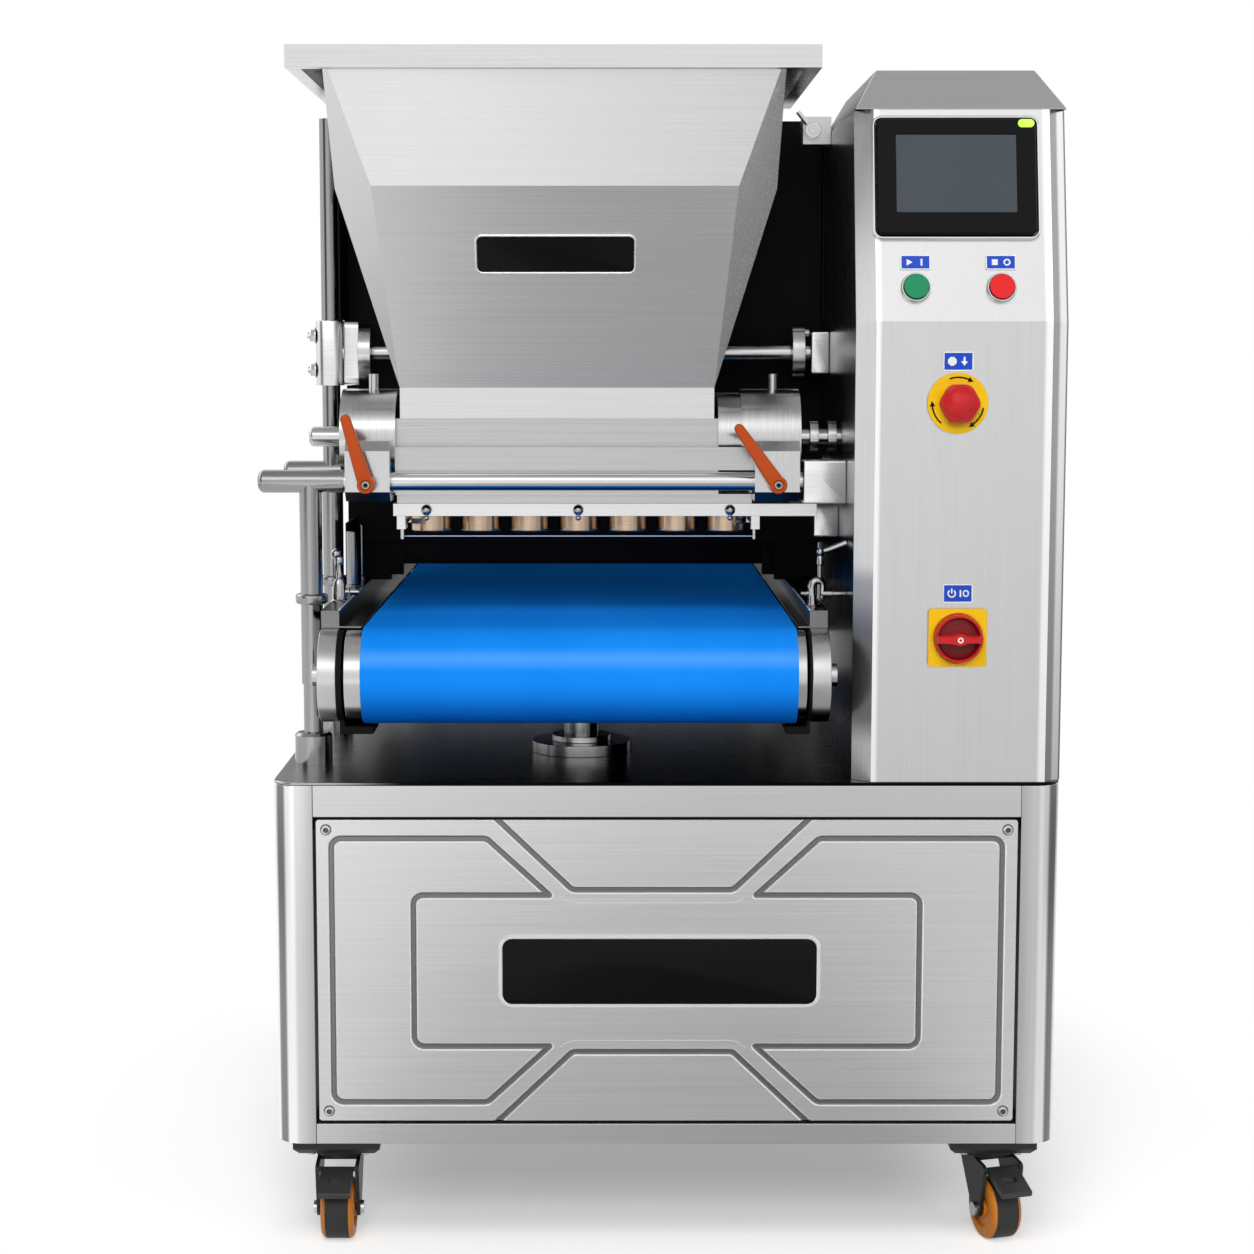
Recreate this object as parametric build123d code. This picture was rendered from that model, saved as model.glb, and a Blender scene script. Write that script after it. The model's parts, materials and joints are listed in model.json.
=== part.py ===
from build123d import *
import os
from math import atan2, cos, degrees, hypot, pi, sin

# Cookie depositor: base cabinet on castors, console, lifting conveyor, hopper and depositing head.
# Millimetres, +Z up, floor at z = 0, X to the operator's right, +Y away from the operator.
# The origin lies on the floor under the middle of the base.

# Base cabinet
base_width = 792.0
base_depth = 900.0
base_bottom = 121.0
base_height = 372.0
deck_thickness = 3.0
corner_radius = 26.0
post_size = 41.0
post_wall = 3.0
rail_wall = 2.0
top_rail_height = 32.0
bottom_rail_height = 21.0
flange_width = 14.0
flange_thickness = 2.0
panel_gap = 3.0
panel_thickness = 4.0
panel_inset = 1.5
bead_width = 8.0
bead_floor = 3.0
bead_depth = 2.2
bead_margin_x = 15.0
bead_margin_z = 19.0
bead_band_x = 82.0
bead_band_z = 58.0
bead_corner = 10.0
bead_shift = 14.0
bead_flat_half = 167.0
bead_tip_half = 104.0
ridge_half = 81.0
ridge_mouth_half = 156.0
ridge_gap = 5.5
crease_drop = 12.5
crease_width = 1.4
crease_depth = 0.8
louvre_count = 7
louvre_length = 120.0
louvre_height = 5.0
louvre_pitch = 18.0
screw_radius = 5.0
screw_head = 2.5
screw_inset = 10.0

# Badge plates
badge_thickness = 1.5
base_badge_width = 325.0
base_badge_height = 75.0
base_badge_radius = 9.0
base_badge_left = 7.0
hopper_badge_width = 164.0
hopper_badge_height = 42.0
hopper_badge_radius = 6.0
hopper_badge_up = 38.0

# Castors
castor_inset_x = 56.0
castor_inset_y = 87.0
pad_size = 90.0
pad_height = 26.0
pad_bevel = 6.0
kingpin_radius = 7.0
kingpin_length = 16.0
wheel_radius = 32.0
wheel_width = 34.0
wheel_shoulder = 6.0
dish_radius = 20.0
dish_depth = 3.0
wheel_boss = 10.0
castor_trail = 22.0
axle_radius = 4.0
axle_head_radius = 7.0
axle_head = 3.5
fork_leg = 4.0
fork_rim = 2.0
fork_side_gap = 1.6
crown_height = 9.0
race_radius = 27.0
race_height = 4.0
pedal_pivot_forward = 13.0
pedal_pivot_height = 77.0
pedal_pin_radius = 2.5
pedal_rim = 3.0
pedal_width = 33.0
pedal_length = 38.0
pedal_drop = 17.0
pedal_thickness = 7.0
pedal_slot_width = 15.0
pedal_slot_length = 7.5
right_castor_turn = 17.0

# Console
console_width = 210.0
console_setback = 3.0
console_depth = 420.0
console_wall = 2.0
console_chamfer = 18.0
console_face_height = 458.0
console_slant_height = 209.0
console_lean = 47.0
console_cap_height = 43.0
cap_side_inset = 25.0
cap_front_inset = 48.0
cap_back_inset = 20.0
screen_width = 158.0
screen_height = 118.0
screen_drop = 70.2
screen_left = 7.0
screen_thickness = 8.0
screen_radius = 7.0
screen_edge = 2.0
display_width = 119.0
display_height = 79.0
display_up = 3.0
display_recess = 1.5
display_radius = 1.0
lamp_width = 16.0
lamp_height = 8.0
lamp_thickness = 2.0
lamp_inset = 2.0
button_spread = 84.0
button_left = 6.0
button_drop = 52.0
bezel_radius = 15.0
bezel_height = 6.0
button_radius = 12.2
button_height = 5.0
button_gap = 0.4
button_travel = 3.0
button_stop_gap = 1.5
stem_radius = 5.0
stem_length = 22.0
estop_drop = 80.0
estop_left = 6.0
estop_disc_radius = 30.0
estop_disc = 3.0
estop_collar = 4.0
estop_head_radius = 20.0
estop_head_height = 15.0
estop_travel = 4.0
estop_stem_radius = 6.5
switch_rise = 146.0
switch_left = 3.0
switch_plate = 58.0
switch_plate_thickness = 5.0
switch_plate_radius = 4.0
switch_knob_radius = 24.0
switch_knob_height = 9.0
switch_bar_width = 13.0
switch_bar_height = 12.0
switch_bar_inset = 1.0
switch_bar_radius = 4.0
label_thickness = 0.8
label_radius = 1.0
label_width = 30.0
label_height = 15.0
label_up = 26.0
side_label_height = 19.0
side_label_up = 41.0
switch_label_up = 44.0

# Conveyor
belt_left_gap = 90.0
belt_right_gap = 55.0
belt_thickness = 2.5
belt_radius = 49.0
front_axis_y = 45.0
roller_spacing = 1160.0
conveyor_rise = 103.0
roller_gap = 0.3
left_shoulder = 16.5
right_shoulder = 8.5
left_shoulder_gap = 8.0
right_shoulder_gap = 5.5
side_plate_thickness = 18.5
side_plate_step = 1.5
roller_shaft_radius = 9.0
shaft_nut_radius = 11.5
shaft_nut = 9.0
liner_gap = 2.5
liner_inset = 1.5
chin_lap = 10.0
chin_depth = 8.0
chin_gap = 2.0
chin_front = 12.0
chin_back = 44.0
guide_sheet = 2.0
guide_height = 18.0
guide_lip = 11.0
belt_side_gap = 2.0
bed_sheet = 2.0
bed_end_gap = 14.0
bed_edge_gap = 10.0
cross_tube_radius = 10.0
cross_tube_count = 3
cradle_length = 170.0
cradle_thickness = 6.0
cradle_gap = 4.0
ram_y = 206.0
ram_spacing = 480.0
ram_radius = 19.0
ram_flange_radius = 40.0
ram_flange = 6.0
jack_flange_radius = 54.0
jack_flange = 12.0
jack_boss_radius = 32.0
jack_boss = 6.0
jack_body_radius = 38.0
jack_body_length = 250.0
ram_stroke_room = 30.0

# Depositing head
head_y = 206.0
roller_pitch = 47.0
head_rise = 236.0
feed_radius = 22.0
feed_gap = 0.5
flute_count = 10
flute_radius = 3.0
feed_shaft_radius = 8.0
handle_radius = 10.5
handle_length = 36.0
handle_round = 5.0
feed_shaft_cover = 6.0
gear_teeth = 20
gear_width = 16.0
gear_backlash = 0.25
gear_clearance = 0.6
tooth_depth_share = 1.2
tooth_flare_share = 0.35
tooth_taper_share = 0.4
body_left_gap = 26.0
body_right_gap = 75.0
body_half_depth = 74.0
body_top_drop = 9.0
body_ledge = 7.0
body_ledge_out = 3.0
body_step_drop = 59.0
manifold_roof = 3.0
manifold_step = 2.5
strip_gap = 1.5
throat_rise = 20.0
throat_wall = 4.0
bar_drop = 69.0
bar_thickness = 13.0
bar_half_depth = 56.0
bar_overhang = 4.0
bar_reach = 29.0
outlet_half = 8.0
outlet_end_gap = 12.0
housing_radius = 50.0
left_housing_length = 58.0
gear_case_length = 24.0
gear_case_radius = 46.0
gear_case_room = 5.0
right_housing_length = 62.0
clamp_width = 46.0
left_clamp_inset = 9.0
right_clamp_inset = 4.0
clamp_front = 98.0
clamp_drop = 64.0
clamp_height = 62.0
clamp_chamfer = 10.0
clamp_depth = 52.0
grease_pin_radius = 5.0
grease_pin_height = 16.0
front_rail_y = 121.0
rail_drop = 44.0
rail_radius = 9.5
rear_rail_y = 330.0
lug_half_height = 18.0
lug_reach = 20.0
nozzle_end_gap = 2.0
nozzle_pitch = 52.4
nozzle_shift = 4.0
nozzle_radius = 22.2
nozzle_height = 19.0
nozzle_neck_radius = 17.0
nozzle_neck = 8.0
nozzle_bore = 9.0
nozzle_tip_bore = 6.0
nozzle_bevel = 1.0
thumb_screw_radius = 5.0
thumb_screw_head = 5.0
thumb_screw_inset = 63.0
lever_hub_radius = 9.0
lever_hub_height = 14.0
lever_length = 70.0
lever_thickness = 9.0
lever_tip_radius = 5.0
lever_root_radius = 8.0
lever_round = 2.0
lever_lift = 8.0
lever_stud_radius = 4.0
stud_end_gap = 1.0
lever_drop = 2.0
left_lever_angle = 17.0
right_lever_angle = 35.0
cutter_rod_radius = 3.0
cutter_rod_drop = 9.0
cutter_rod_half = 50.0
cutter_lug = 5.0
cutter_lug_rim = 2.0
cutter_side_gap = 2.0
cutter_arm_width = 9.0
cutter_arm_length = 12.0
cutter_stem_radius = 2.0
cutter_stem_drop = 6.5
cutter_start = -36.0
cutter_wire_radius = 0.8
cutter_wire_drop = 3.5

# Left posts and console brackets
post_gap = 18.0
post_rod_radius = 10.0
post_sleeve_radius = 11.6
post_sleeve_rise = 84.0
post_foot_radius = 19.5
post_foot_height = 33.0
post_foot_bevel = 3.0
post_ring_drop = 122.0
post_ring_radius = 17.0
post_ring_width = 11.0
tee_radius = 12.0
tee_reach = 54.0
tee_gap = 3.0
tee_socket = 30.0
tee_round = 7.0
rear_flange_width = 8.0
column_radius = 10.0
column_rise = 256.0
bracket_half_depth = 22.0
bracket_half_height = 22.0
bar_bracket_drop = 24.0
bar_bracket_half_depth = 25.0

# Cross shaft behind the hopper
crank_rise = 88.0
crank_radius = 9.0
crank_disc_radius = 32.0
crank_disc = 14.0
bearing_reach = 32.0
crank_disc_gap = 41.0
crank_pin_radius = 4.5
crank_pin_reach = 22.0
bearing_half = 36.0
bearing_half_depth = 16.0
bearing_block = 20.0
bearing_block_half = 23.0
bearing_wall = 6.0
bearing_web = 3.0
crank_end = 30.0

# Dark shield behind the head
shield_y = 400.0
shield_sheet = 2.5
shield_drop = 85.0
shield_rise = 260.0
shield_flange = 20.0
side_screen_gap = 2.0
side_screen_lap = 9.0

# Hopper
hopper_sheet = 2.0
rim_side_reach = 30.5
rim_front_reach = 40.0
rim_height = 22.0
rim_lip = 12.0
bin_height = 131.0
bin_side_flare = 5.0
bin_front_flare = 22.0
cone_height = 202.0
cone_side_flare = 61.0
cone_front_flare = 88.0
crease_cut_x = 41.0
crease_cut_y = 48.0
neck_rise = 52.0
neck_half_depth = 56.0
neck_slot_gap = 1.0

# Hopper switch
switch_body_height = 30.0
switch_body_depth = 34.0
switch_body_drop = 13.0
switch_body_gap = 6.5
switch_body_y = 313.0
cap_radius = 9.6
cap_length = 6.0
arm_length = 26.0
arm_radius = 2.6
arm_angle = 40.0
arm_stub_radius = 3.5
arm_stub = 14.0
arm_stub_gap = 1.0
cap_inset = 1.0

# Drive inside the console
motor_radius = 38.0
motor_length = 90.0
coupling_radius = 16.0
coupling_disc = 9.0
coupling_inset = 12.0
coupling_wall_gap = 4.0
motor_bore = 30.0

# Clearances
shaft_gap = 0.05
running_gap = 0.4
disc_gap = 0.6
overcut = 1.0
facing_cut = 0.01

# Places worked out from the sizes above
front = -base_depth / 2
base_left = -base_width / 2
base_right = base_width / 2
deck_top = base_bottom + base_height
deck_under = deck_top - deck_thickness
pad_bottom = base_bottom - pad_height

console_left = base_right - console_width
console_x = base_right - console_width / 2
console_front = front + console_setback
console_back = console_front + console_depth
console_kink = deck_top + console_face_height
console_shoulder = console_kink + console_slant_height
console_top = console_shoulder + console_cap_height
lean_angle = atan2(console_lean, console_slant_height)
screen_up = hypot(console_lean, console_slant_height) - screen_drop
button_up = screen_up - screen_height / 2 - button_drop
estop_height = console_kink - estop_drop
switch_height = deck_top + switch_rise

belt_left = base_left + belt_left_gap
belt_right = console_left - belt_right_gap
belt_width = belt_right - belt_left
conveyor_x = (belt_left + belt_right) / 2
axis_height = deck_top + conveyor_rise
front_axis = front + front_axis_y
rear_axis = front_axis + roller_spacing
belt_inner_radius = belt_radius - belt_thickness
side_plate_radius = belt_radius - side_plate_step
left_plate_inner = belt_left - left_shoulder - left_shoulder_gap
right_plate_inner = belt_right + right_shoulder + right_shoulder_gap
plate_left = left_plate_inner - side_plate_thickness
plate_right = right_plate_inner + side_plate_thickness
ram_places = (front + ram_y, front + ram_y + ram_spacing)
cradle_top = axis_height - belt_radius - cradle_gap
cradle_low = cradle_top - cradle_thickness

head_middle = front + head_y
feed_axis_height = axis_height + head_rise
feed_front = head_middle - roller_pitch / 2
feed_rear = head_middle + roller_pitch / 2
body_left = belt_left + body_left_gap
body_right = belt_right - body_right_gap
body_top = feed_axis_height - body_top_drop
body_step = feed_axis_height - body_step_drop
throat_top = feed_axis_height + throat_rise
outlet_left = body_left + outlet_end_gap
outlet_right = body_right - outlet_end_gap
bar_top = feed_axis_height - bar_drop
bar_bottom = bar_top - bar_thickness
bar_left = body_left - bar_overhang
bar_right = belt_right + bar_reach
left_housing_x = body_left - left_housing_length
gear_case_end = body_right + gear_case_length
right_housing_x = gear_case_end + right_housing_length
clamp_face = front + clamp_front
clamp_bottom = feed_axis_height - clamp_drop
clamp_top = clamp_bottom + clamp_height
front_rail = front + front_rail_y
rear_rail = front + rear_rail_y
rail_height = feed_axis_height - rail_drop
lever_axis_height = rail_height - lever_drop
lever_stud = front_rail_y - rail_radius - clamp_front - stud_end_gap
manifold_right = right_housing_x - right_clamp_inset - clamp_width
nozzle_x = (body_left + manifold_right) / 2 + nozzle_shift
nozzle_room = manifold_right - body_left - 2 * (nozzle_radius + nozzle_end_gap + nozzle_shift)
nozzle_count = 1 + int(nozzle_room // nozzle_pitch)
last_nozzle = nozzle_x + (nozzle_count - 1) / 2 * nozzle_pitch
thumb_screw_spread = (bar_right - bar_left) / 2 - thumb_screw_inset

post_x = plate_left - post_gap
post_sleeve_bottom = deck_top + post_sleeve_rise
post_ring_height = rail_height - post_ring_drop
tee_end = post_x - tee_reach
tee_inner = left_housing_x + left_clamp_inset - tee_gap
bracket_left = right_housing_x
crank_height = feed_axis_height + crank_rise
crank_left_x = post_x + bearing_reach
crank_right_x = console_left - crank_disc_gap
column_top = crank_height + column_rise
shield_bottom = rail_height - shield_drop
shield_top = crank_height + shield_rise

hopper_x = (body_left + body_right) / 2
neck_half = (body_right - body_left) / 2 - throat_wall
neck_height = feed_axis_height + neck_rise
crease_half = neck_half + cone_side_flare
crease_half_depth = neck_half_depth + cone_front_flare
crease_height = neck_height + cone_height
hopper_top_half = crease_half + bin_side_flare
hopper_top_half_depth = crease_half_depth + bin_front_flare
hopper_top = crease_height + bin_height
rim_width = 2 * (hopper_top_half + rim_side_reach)
rim_depth = 2 * (hopper_top_half_depth + rim_front_reach)
rim_bottom = hopper_top - rim_height
switch_body_z = console_shoulder - switch_body_drop
switch_body_left = hopper_x + rim_width / 2 + switch_body_gap


def block(x0, x1, y0, y1, z0, z1):
    """A box between two corners."""
    middle = Pos((x0 + x1) / 2, (y0 + y1) / 2, (z0 + z1) / 2)
    return middle * Box(x1 - x0, y1 - y0, z1 - z0)


def rod_x(radius, x0, x1, y, z):
    """A round rod along X."""
    return Pos((x0 + x1) / 2, y, z) * Rot(0, 90, 0) * Cylinder(radius, x1 - x0)


def rod_y(radius, y0, y1, x, z):
    """A round rod along Y."""
    return Pos(x, (y0 + y1) / 2, z) * Rot(90, 0, 0) * Cylinder(radius, y1 - y0)


def rod_z(radius, z0, z1, x, y):
    """A round rod along Z."""
    return Pos(x, y, (z0 + z1) / 2) * Cylinder(radius, z1 - z0)


def side_profile(points, x0, x1):
    """A closed outline of (y, z) points, extruded along X."""
    outline = make_face(Polyline(*points, close=True))
    return Pos(x0, 0, 0) * extrude(Plane.YZ * outline, x1 - x0)


def stadium_x(radius, y0, y1, z, x0, x1):
    """A plate with round ends about two axes along X."""
    outline = SlotCenterToCenter(y1 - y0, 2 * radius)
    return Pos(x0, (y0 + y1) / 2, z) * extrude(Plane.YZ * outline, x1 - x0)


def save(name, *pieces):
    """Write one node, of one piece or of several separate ones."""
    solids = [solid for piece in pieces for solid in piece.solids()]
    shape = solids[0] if len(solids) == 1 else Compound(children=solids)
    export_step(shape, "parts/" + name + ".step")


def panel_size(clear_width):
    """Width and height of the cover in an opening of the base."""
    opening_height = deck_under - top_rail_height - base_bottom - bottom_rail_height
    return clear_width - 2 * panel_gap, opening_height - 2 * panel_gap


panel_middle_z = (deck_under - top_rail_height + base_bottom + bottom_rail_height) / 2
panel_face = panel_inset
panel_back = panel_inset + panel_thickness


def side_rails(clear_width, reach):
    """Top and bottom rail of one side of the base, facing -Y at the distance given."""
    half = clear_width / 2
    rails = []
    for z0, z1, inward in (
        (deck_under - top_rail_height, deck_under, -1),
        (base_bottom, base_bottom + bottom_rail_height, 1),
    ):
        tube = block(-half, half, -reach, -reach + post_size, z0, z1)
        hollow = (-reach + rail_wall, -reach + post_size - rail_wall, z0 + rail_wall, z1 - rail_wall)
        tube -= block(-half, half, *hollow)
        edge = z0 if inward < 0 else z1
        lip = sorted((edge - inward * rail_wall, edge + inward * flange_width))
        back = -reach + panel_back
        tube += block(-half, half, back, back + flange_thickness, lip[0], lip[1])
        rails.append(tube)
    return rails


def cover(clear_width, reach):
    """The plain cover of one side of the base, on the flanges of its rails."""
    width, height = panel_size(clear_width)
    sheet = extrude(RectangleRounded(width, height, panel_gap), panel_thickness)
    return Pos(0, -reach + panel_back, panel_middle_z) * Rot(90, 0, 0) * sheet


def ring_face(outline, width):
    """A band of even width along a closed outline."""
    return offset(outline, width / 2) - offset(outline, -width / 2)


def bead(outline):
    """A pressed groove along a closed outline: its walls slope from the face to a narrow floor."""
    slope = degrees(atan2((bead_width - bead_floor) / 2, bead_depth))
    outside = extrude(offset(outline, bead_floor / 2), bead_depth, taper=-slope)
    inside = extrude(offset(outline, -bead_floor / 2), bead_depth, taper=slope)
    return Pos(0, 0, panel_thickness - bead_depth) * (outside - inside)


def front_cover():
    """The front cover, with two C-shaped beads, two ridges and two creases pressed into it."""
    width, height = panel_size(base_width - 2 * post_size)
    outer_z = height / 2 - bead_margin_z
    inner_z = outer_z - bead_band_z
    sheet = extrude(RectangleRounded(width, height, panel_gap), panel_thickness)
    for side in (-1, 1):
        outer_x = side * (width / 2 - bead_margin_x)
        inner_x = outer_x - side * bead_band_x
        flat_x = side * bead_flat_half - bead_shift
        tip_x = side * bead_tip_half - bead_shift
        upper = [(flat_x, outer_z), (outer_x, outer_z)]
        inner = [(tip_x, -inner_z), (inner_x, -inner_z), (inner_x, inner_z), (tip_x, inner_z)]
        lower = [(outer_x, -outer_z), (flat_x, -outer_z)]
        loop = make_face(Polyline(*upper, *lower, *inner, close=True))
        bends = [v for v in loop.vertices() if abs(v.X - tip_x) > bead_corner]
        sheet -= bead(fillet(bends, bead_corner))
    ridge_z = inner_z + ridge_gap
    mouth = height / 2 + bead_width
    spread = ridge_mouth_half + bead_width
    ridge = make_face(
        Polyline(
            (-spread - bead_shift, mouth),
            (-ridge_half - bead_shift, ridge_z),
            (ridge_half - bead_shift, ridge_z),
            (spread - bead_shift, mouth),
            close=True,
        )
    )
    ridge = fillet([v for v in ridge.vertices() if v.Y < mouth - bead_corner], bead_corner)
    crease = ring_face(offset(ridge, crease_drop), crease_width)
    crease &= Pos(0, inner_z - crease_drop) * Rectangle(width, 2 * crease_drop)
    crease = Pos(0, 0, panel_thickness - crease_depth) * extrude(crease, crease_depth)
    for pressed in (bead(ridge), crease):
        sheet -= pressed
        sheet -= mirror(pressed, Plane.XZ)
    return Pos(0, front + panel_back, panel_middle_z) * Rot(90, 0, 0) * sheet


def make_base():
    """Posts, rails, deck, covers and screws of the base cabinet."""
    corner = Rectangle(post_size, post_size, align=(Align.MIN, Align.MIN))
    corner = fillet(corner.vertices().sort_by(lambda v: v.X + v.Y)[0], corner_radius)
    tube = corner - offset(corner, -post_wall)
    post = Pos(base_left, front, base_bottom) * extrude(tube, deck_under - base_bottom)
    left_pair = [post, mirror(post, Plane.XZ)]
    save("base_posts", *left_pair, *[mirror(p, Plane.YZ) for p in left_pair])

    clear_width = base_width - 2 * post_size
    clear_depth = base_depth - 2 * post_size
    rails = []
    for turn in (0, 180):
        rails += [Rot(0, 0, turn) * rail for rail in side_rails(clear_width, base_depth / 2)]
    for turn in (90, -90):
        rails += [Rot(0, 0, turn) * rail for rail in side_rails(clear_depth, base_width / 2)]
    save("base_rails", *rails)

    sheet = extrude(RectangleRounded(base_width, base_depth, corner_radius), deck_thickness)
    deck = Pos(0, 0, deck_under) * sheet
    for y in ram_places:
        deck -= rod_z(jack_body_radius + running_gap, deck_under - overcut, deck_top + overcut, conveyor_x, y)
    save("deck_plate", deck)

    sides = [Rot(0, 0, turn) * cover(clear_depth, base_width / 2) for turn in (90, -90)]
    save("base_side_panels", *sides)
    rear = Rot(0, 0, 180) * cover(clear_width, base_depth / 2)
    for column in (-1, 1):
        for row in range(louvre_count):
            z = panel_middle_z + (row - (louvre_count - 1) / 2) * louvre_pitch
            x = column * clear_width / 4
            slot = block(
                x - louvre_length / 2, x + louvre_length / 2,
                -front - panel_back - overcut, -front + overcut,
                z - louvre_height / 2, z + louvre_height / 2,
            )
            rear -= slot
    save("base_rear_panel", rear)
    save("front_panel", front_cover())


def screw(plane, x, y, radius, height):
    """A domed screw head on a plane."""
    head = Cylinder(radius, height, align=(Align.CENTER, Align.CENTER, Align.MIN))
    head = fillet(head.edges().group_by(Axis.Z)[-1], height / 2)
    return plane.location * Pos(x, y, 0) * head


def make_screws():
    """Cover screws of the base and thumb screws of the nozzle bar."""
    width, height = panel_size(base_width - 2 * post_size)
    heads = []
    for turn in (0, 180):
        face = Plane((0, front + panel_face, panel_middle_z), x_dir=(1, 0, 0), z_dir=(0, -1, 0))
        for x in (-1, 1):
            for y in (-1, 1):
                place = (x * (width / 2 - screw_inset), y * (height / 2 - screw_inset))
                heads.append(Rot(0, 0, turn) * screw(face, *place, screw_radius, screw_head))
    bar_face = Plane(
        (nozzle_x, head_middle - bar_half_depth, (bar_top + bar_bottom) / 2), x_dir=(1, 0, 0), z_dir=(0,
        -1, 0)
    )
    for x in (-1, 0, 1):
        heads.append(screw(bar_face, x * thumb_screw_spread, 0, thumb_screw_radius, thumb_screw_head))
    save("screws", *heads)


def castor_pad(x, y):
    """The bevelled block between the base and one castor."""
    pad = block(-pad_size / 2, pad_size / 2, -pad_size / 2, pad_size / 2, pad_bottom, base_bottom)
    pad = chamfer(pad.faces().sort_by(Axis.Z)[0].edges(), pad_bevel)
    pad -= rod_z(
        kingpin_radius + shaft_gap, pad_bottom - overcut, pad_bottom + kingpin_length + running_gap, 0, 0
    )
    return Pos(x, y, 0) * pad


def castor_fork(braked):
    """Fork with its race, kingpin and axle, turned with the pedal towards -Y."""
    inner = wheel_width / 2 + fork_side_gap
    outer = inner + fork_leg
    race_top = pad_bottom - running_gap
    crown_top = race_top - race_height
    crown_bottom = crown_top - crown_height
    axle_y = -castor_trail
    pivot_y = axle_y - pedal_pivot_forward
    leg = make_hull(
        (
            Sketch() + [
                Pos(axle_y, wheel_radius) * Circle(axle_head_radius + fork_rim),
                Pos(pivot_y, pedal_pivot_height) * Circle(pedal_pin_radius + pedal_rim),
                Pos(race_radius / 2, crown_top - crown_height / 2) * Circle(crown_height / 2),
            ]
        ).edges()
    )
    legs = [Pos(x, 0, 0) * extrude(Plane.YZ * leg, fork_leg) for x in (-outer, inner)]
    crown = block(-outer, outer, pivot_y / 2, race_radius / 2, crown_bottom, crown_top)
    fork = legs[0] + legs[1] + crown
    fork += rod_z(race_radius, crown_top - crown_height / 2, race_top, 0, 0)
    fork += rod_z(kingpin_radius, race_top, pad_bottom + kingpin_length, 0, 0)
    fork += rod_x(axle_radius, -outer, outer, axle_y, wheel_radius)
    for x0, x1 in ((-outer - axle_head, -outer), (outer, outer + axle_head)):
        fork += rod_x(axle_head_radius, x0, x1, axle_y, wheel_radius)
    if braked:
        hole = pedal_pin_radius + shaft_gap
        fork -= rod_x(hole, -outer - overcut, outer + overcut, pivot_y, pedal_pivot_height)
    return fork


def castor_wheel():
    """Wheel with rounded shoulders and a dished side, bored for its axle."""
    half = wheel_width / 2
    wheel = rod_x(wheel_radius, -half, half, 0, 0)
    wheel = fillet(wheel.edges().filter_by(GeomType.CIRCLE), wheel_shoulder)
    for x0, x1 in ((-half - overcut, -half + dish_depth), (half - dish_depth, half + overcut)):
        wheel -= rod_x(dish_radius, x0, x1, 0, 0) - rod_x(wheel_boss, x0, x1, 0, 0)
    wheel -= rod_x(axle_radius + shaft_gap, -half - overcut, half + overcut, 0, 0)
    return Pos(0, -castor_trail, wheel_radius) * wheel


def castor_brake():
    """Brake pedal with its pin, over the front of the wheel."""
    pivot_y = -castor_trail - pedal_pivot_forward
    pivot_z = pedal_pivot_height
    slope = hypot(pedal_length, pedal_drop)
    tread = Box(pedal_width, slope, pedal_thickness)
    tread = fillet(tread.edges().filter_by(Axis.X), pedal_thickness / 3)
    tread -= Box(pedal_slot_width, pedal_slot_length, 2 * pedal_thickness)
    tilt = degrees(atan2(pedal_drop, pedal_length))
    middle = Pos(0, pivot_y - pedal_length / 2, pivot_z - pedal_drop / 2)
    pedal = middle * Rot(tilt, 0, 0) * tread
    outer = wheel_width / 2 + fork_side_gap + fork_leg
    return pedal + rod_x(pedal_pin_radius, -outer, outer, pivot_y, pivot_z)


def make_castors():
    """Four castors; the front pair has brakes and the right one stands turned."""
    places = {
        "front_left": (-1, -1, 0.0),
        "front_right": (1, -1, right_castor_turn),
        "rear_left": (-1, 1, 0.0),
        "rear_right": (1, 1, 0.0),
    }
    pads = []
    for name, (side, end, turn) in places.items():
        x = side * (base_width / 2 - castor_inset_x)
        y = end * (base_depth / 2 - castor_inset_y)
        braked = end < 0
        stand = Pos(x, y, 0) * Rot(0, 0, turn)
        pads.append(castor_pad(x, y))
        save("castor_fork_" + name, stand * castor_fork(braked))
        save("castor_wheel_" + name, stand * castor_wheel())
        if braked:
            save("castor_brake_" + name, stand * castor_brake())
    save("castor_pads", *pads)


front_plane = Plane((console_x, console_front, 0), x_dir=(1, 0, 0), z_dir=(0, -1, 0))
slant_plane = Plane(
    (console_x, console_front, console_kink), x_dir=(1, 0, 0), z_dir=(0, -cos(lean_angle), sin(lean_angle))
)


def peg(plane, x, y, radius, z0, z1):
    """A round peg along a plane's normal."""
    return plane.location * Pos(x, y, (z0 + z1) / 2) * Cylinder(radius, z1 - z0)


def plate(plane, x, y, width, height, thickness, radius, lift=0.0):
    """A flat plate with round corners on a plane."""
    return plane.location * Pos(x, y, lift) * extrude(RectangleRounded(width, height, radius), thickness)


def console_solid(inset, back, bottom, top):
    """The console's outer form, drawn in by an inset."""
    y0 = console_front + inset
    rise = top - console_kink
    lean = console_lean / (console_shoulder - console_kink)
    points = [(y0, bottom), (y0, console_kink), (y0 + rise * lean, top), (back, top), (back, bottom)]
    form = side_profile(points, console_left + inset, base_right - inset)
    near_front = [edge for edge in form.edges() if edge.center().Y < y0 + console_lean]
    upright = [edge for edge in near_front if abs(edge.tangent_at(0.5).Z) > 0.9]
    return chamfer(upright, console_chamfer)


button_places = {"start": -button_spread / 2 - button_left, "stop": button_spread / 2 - button_left}


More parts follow.
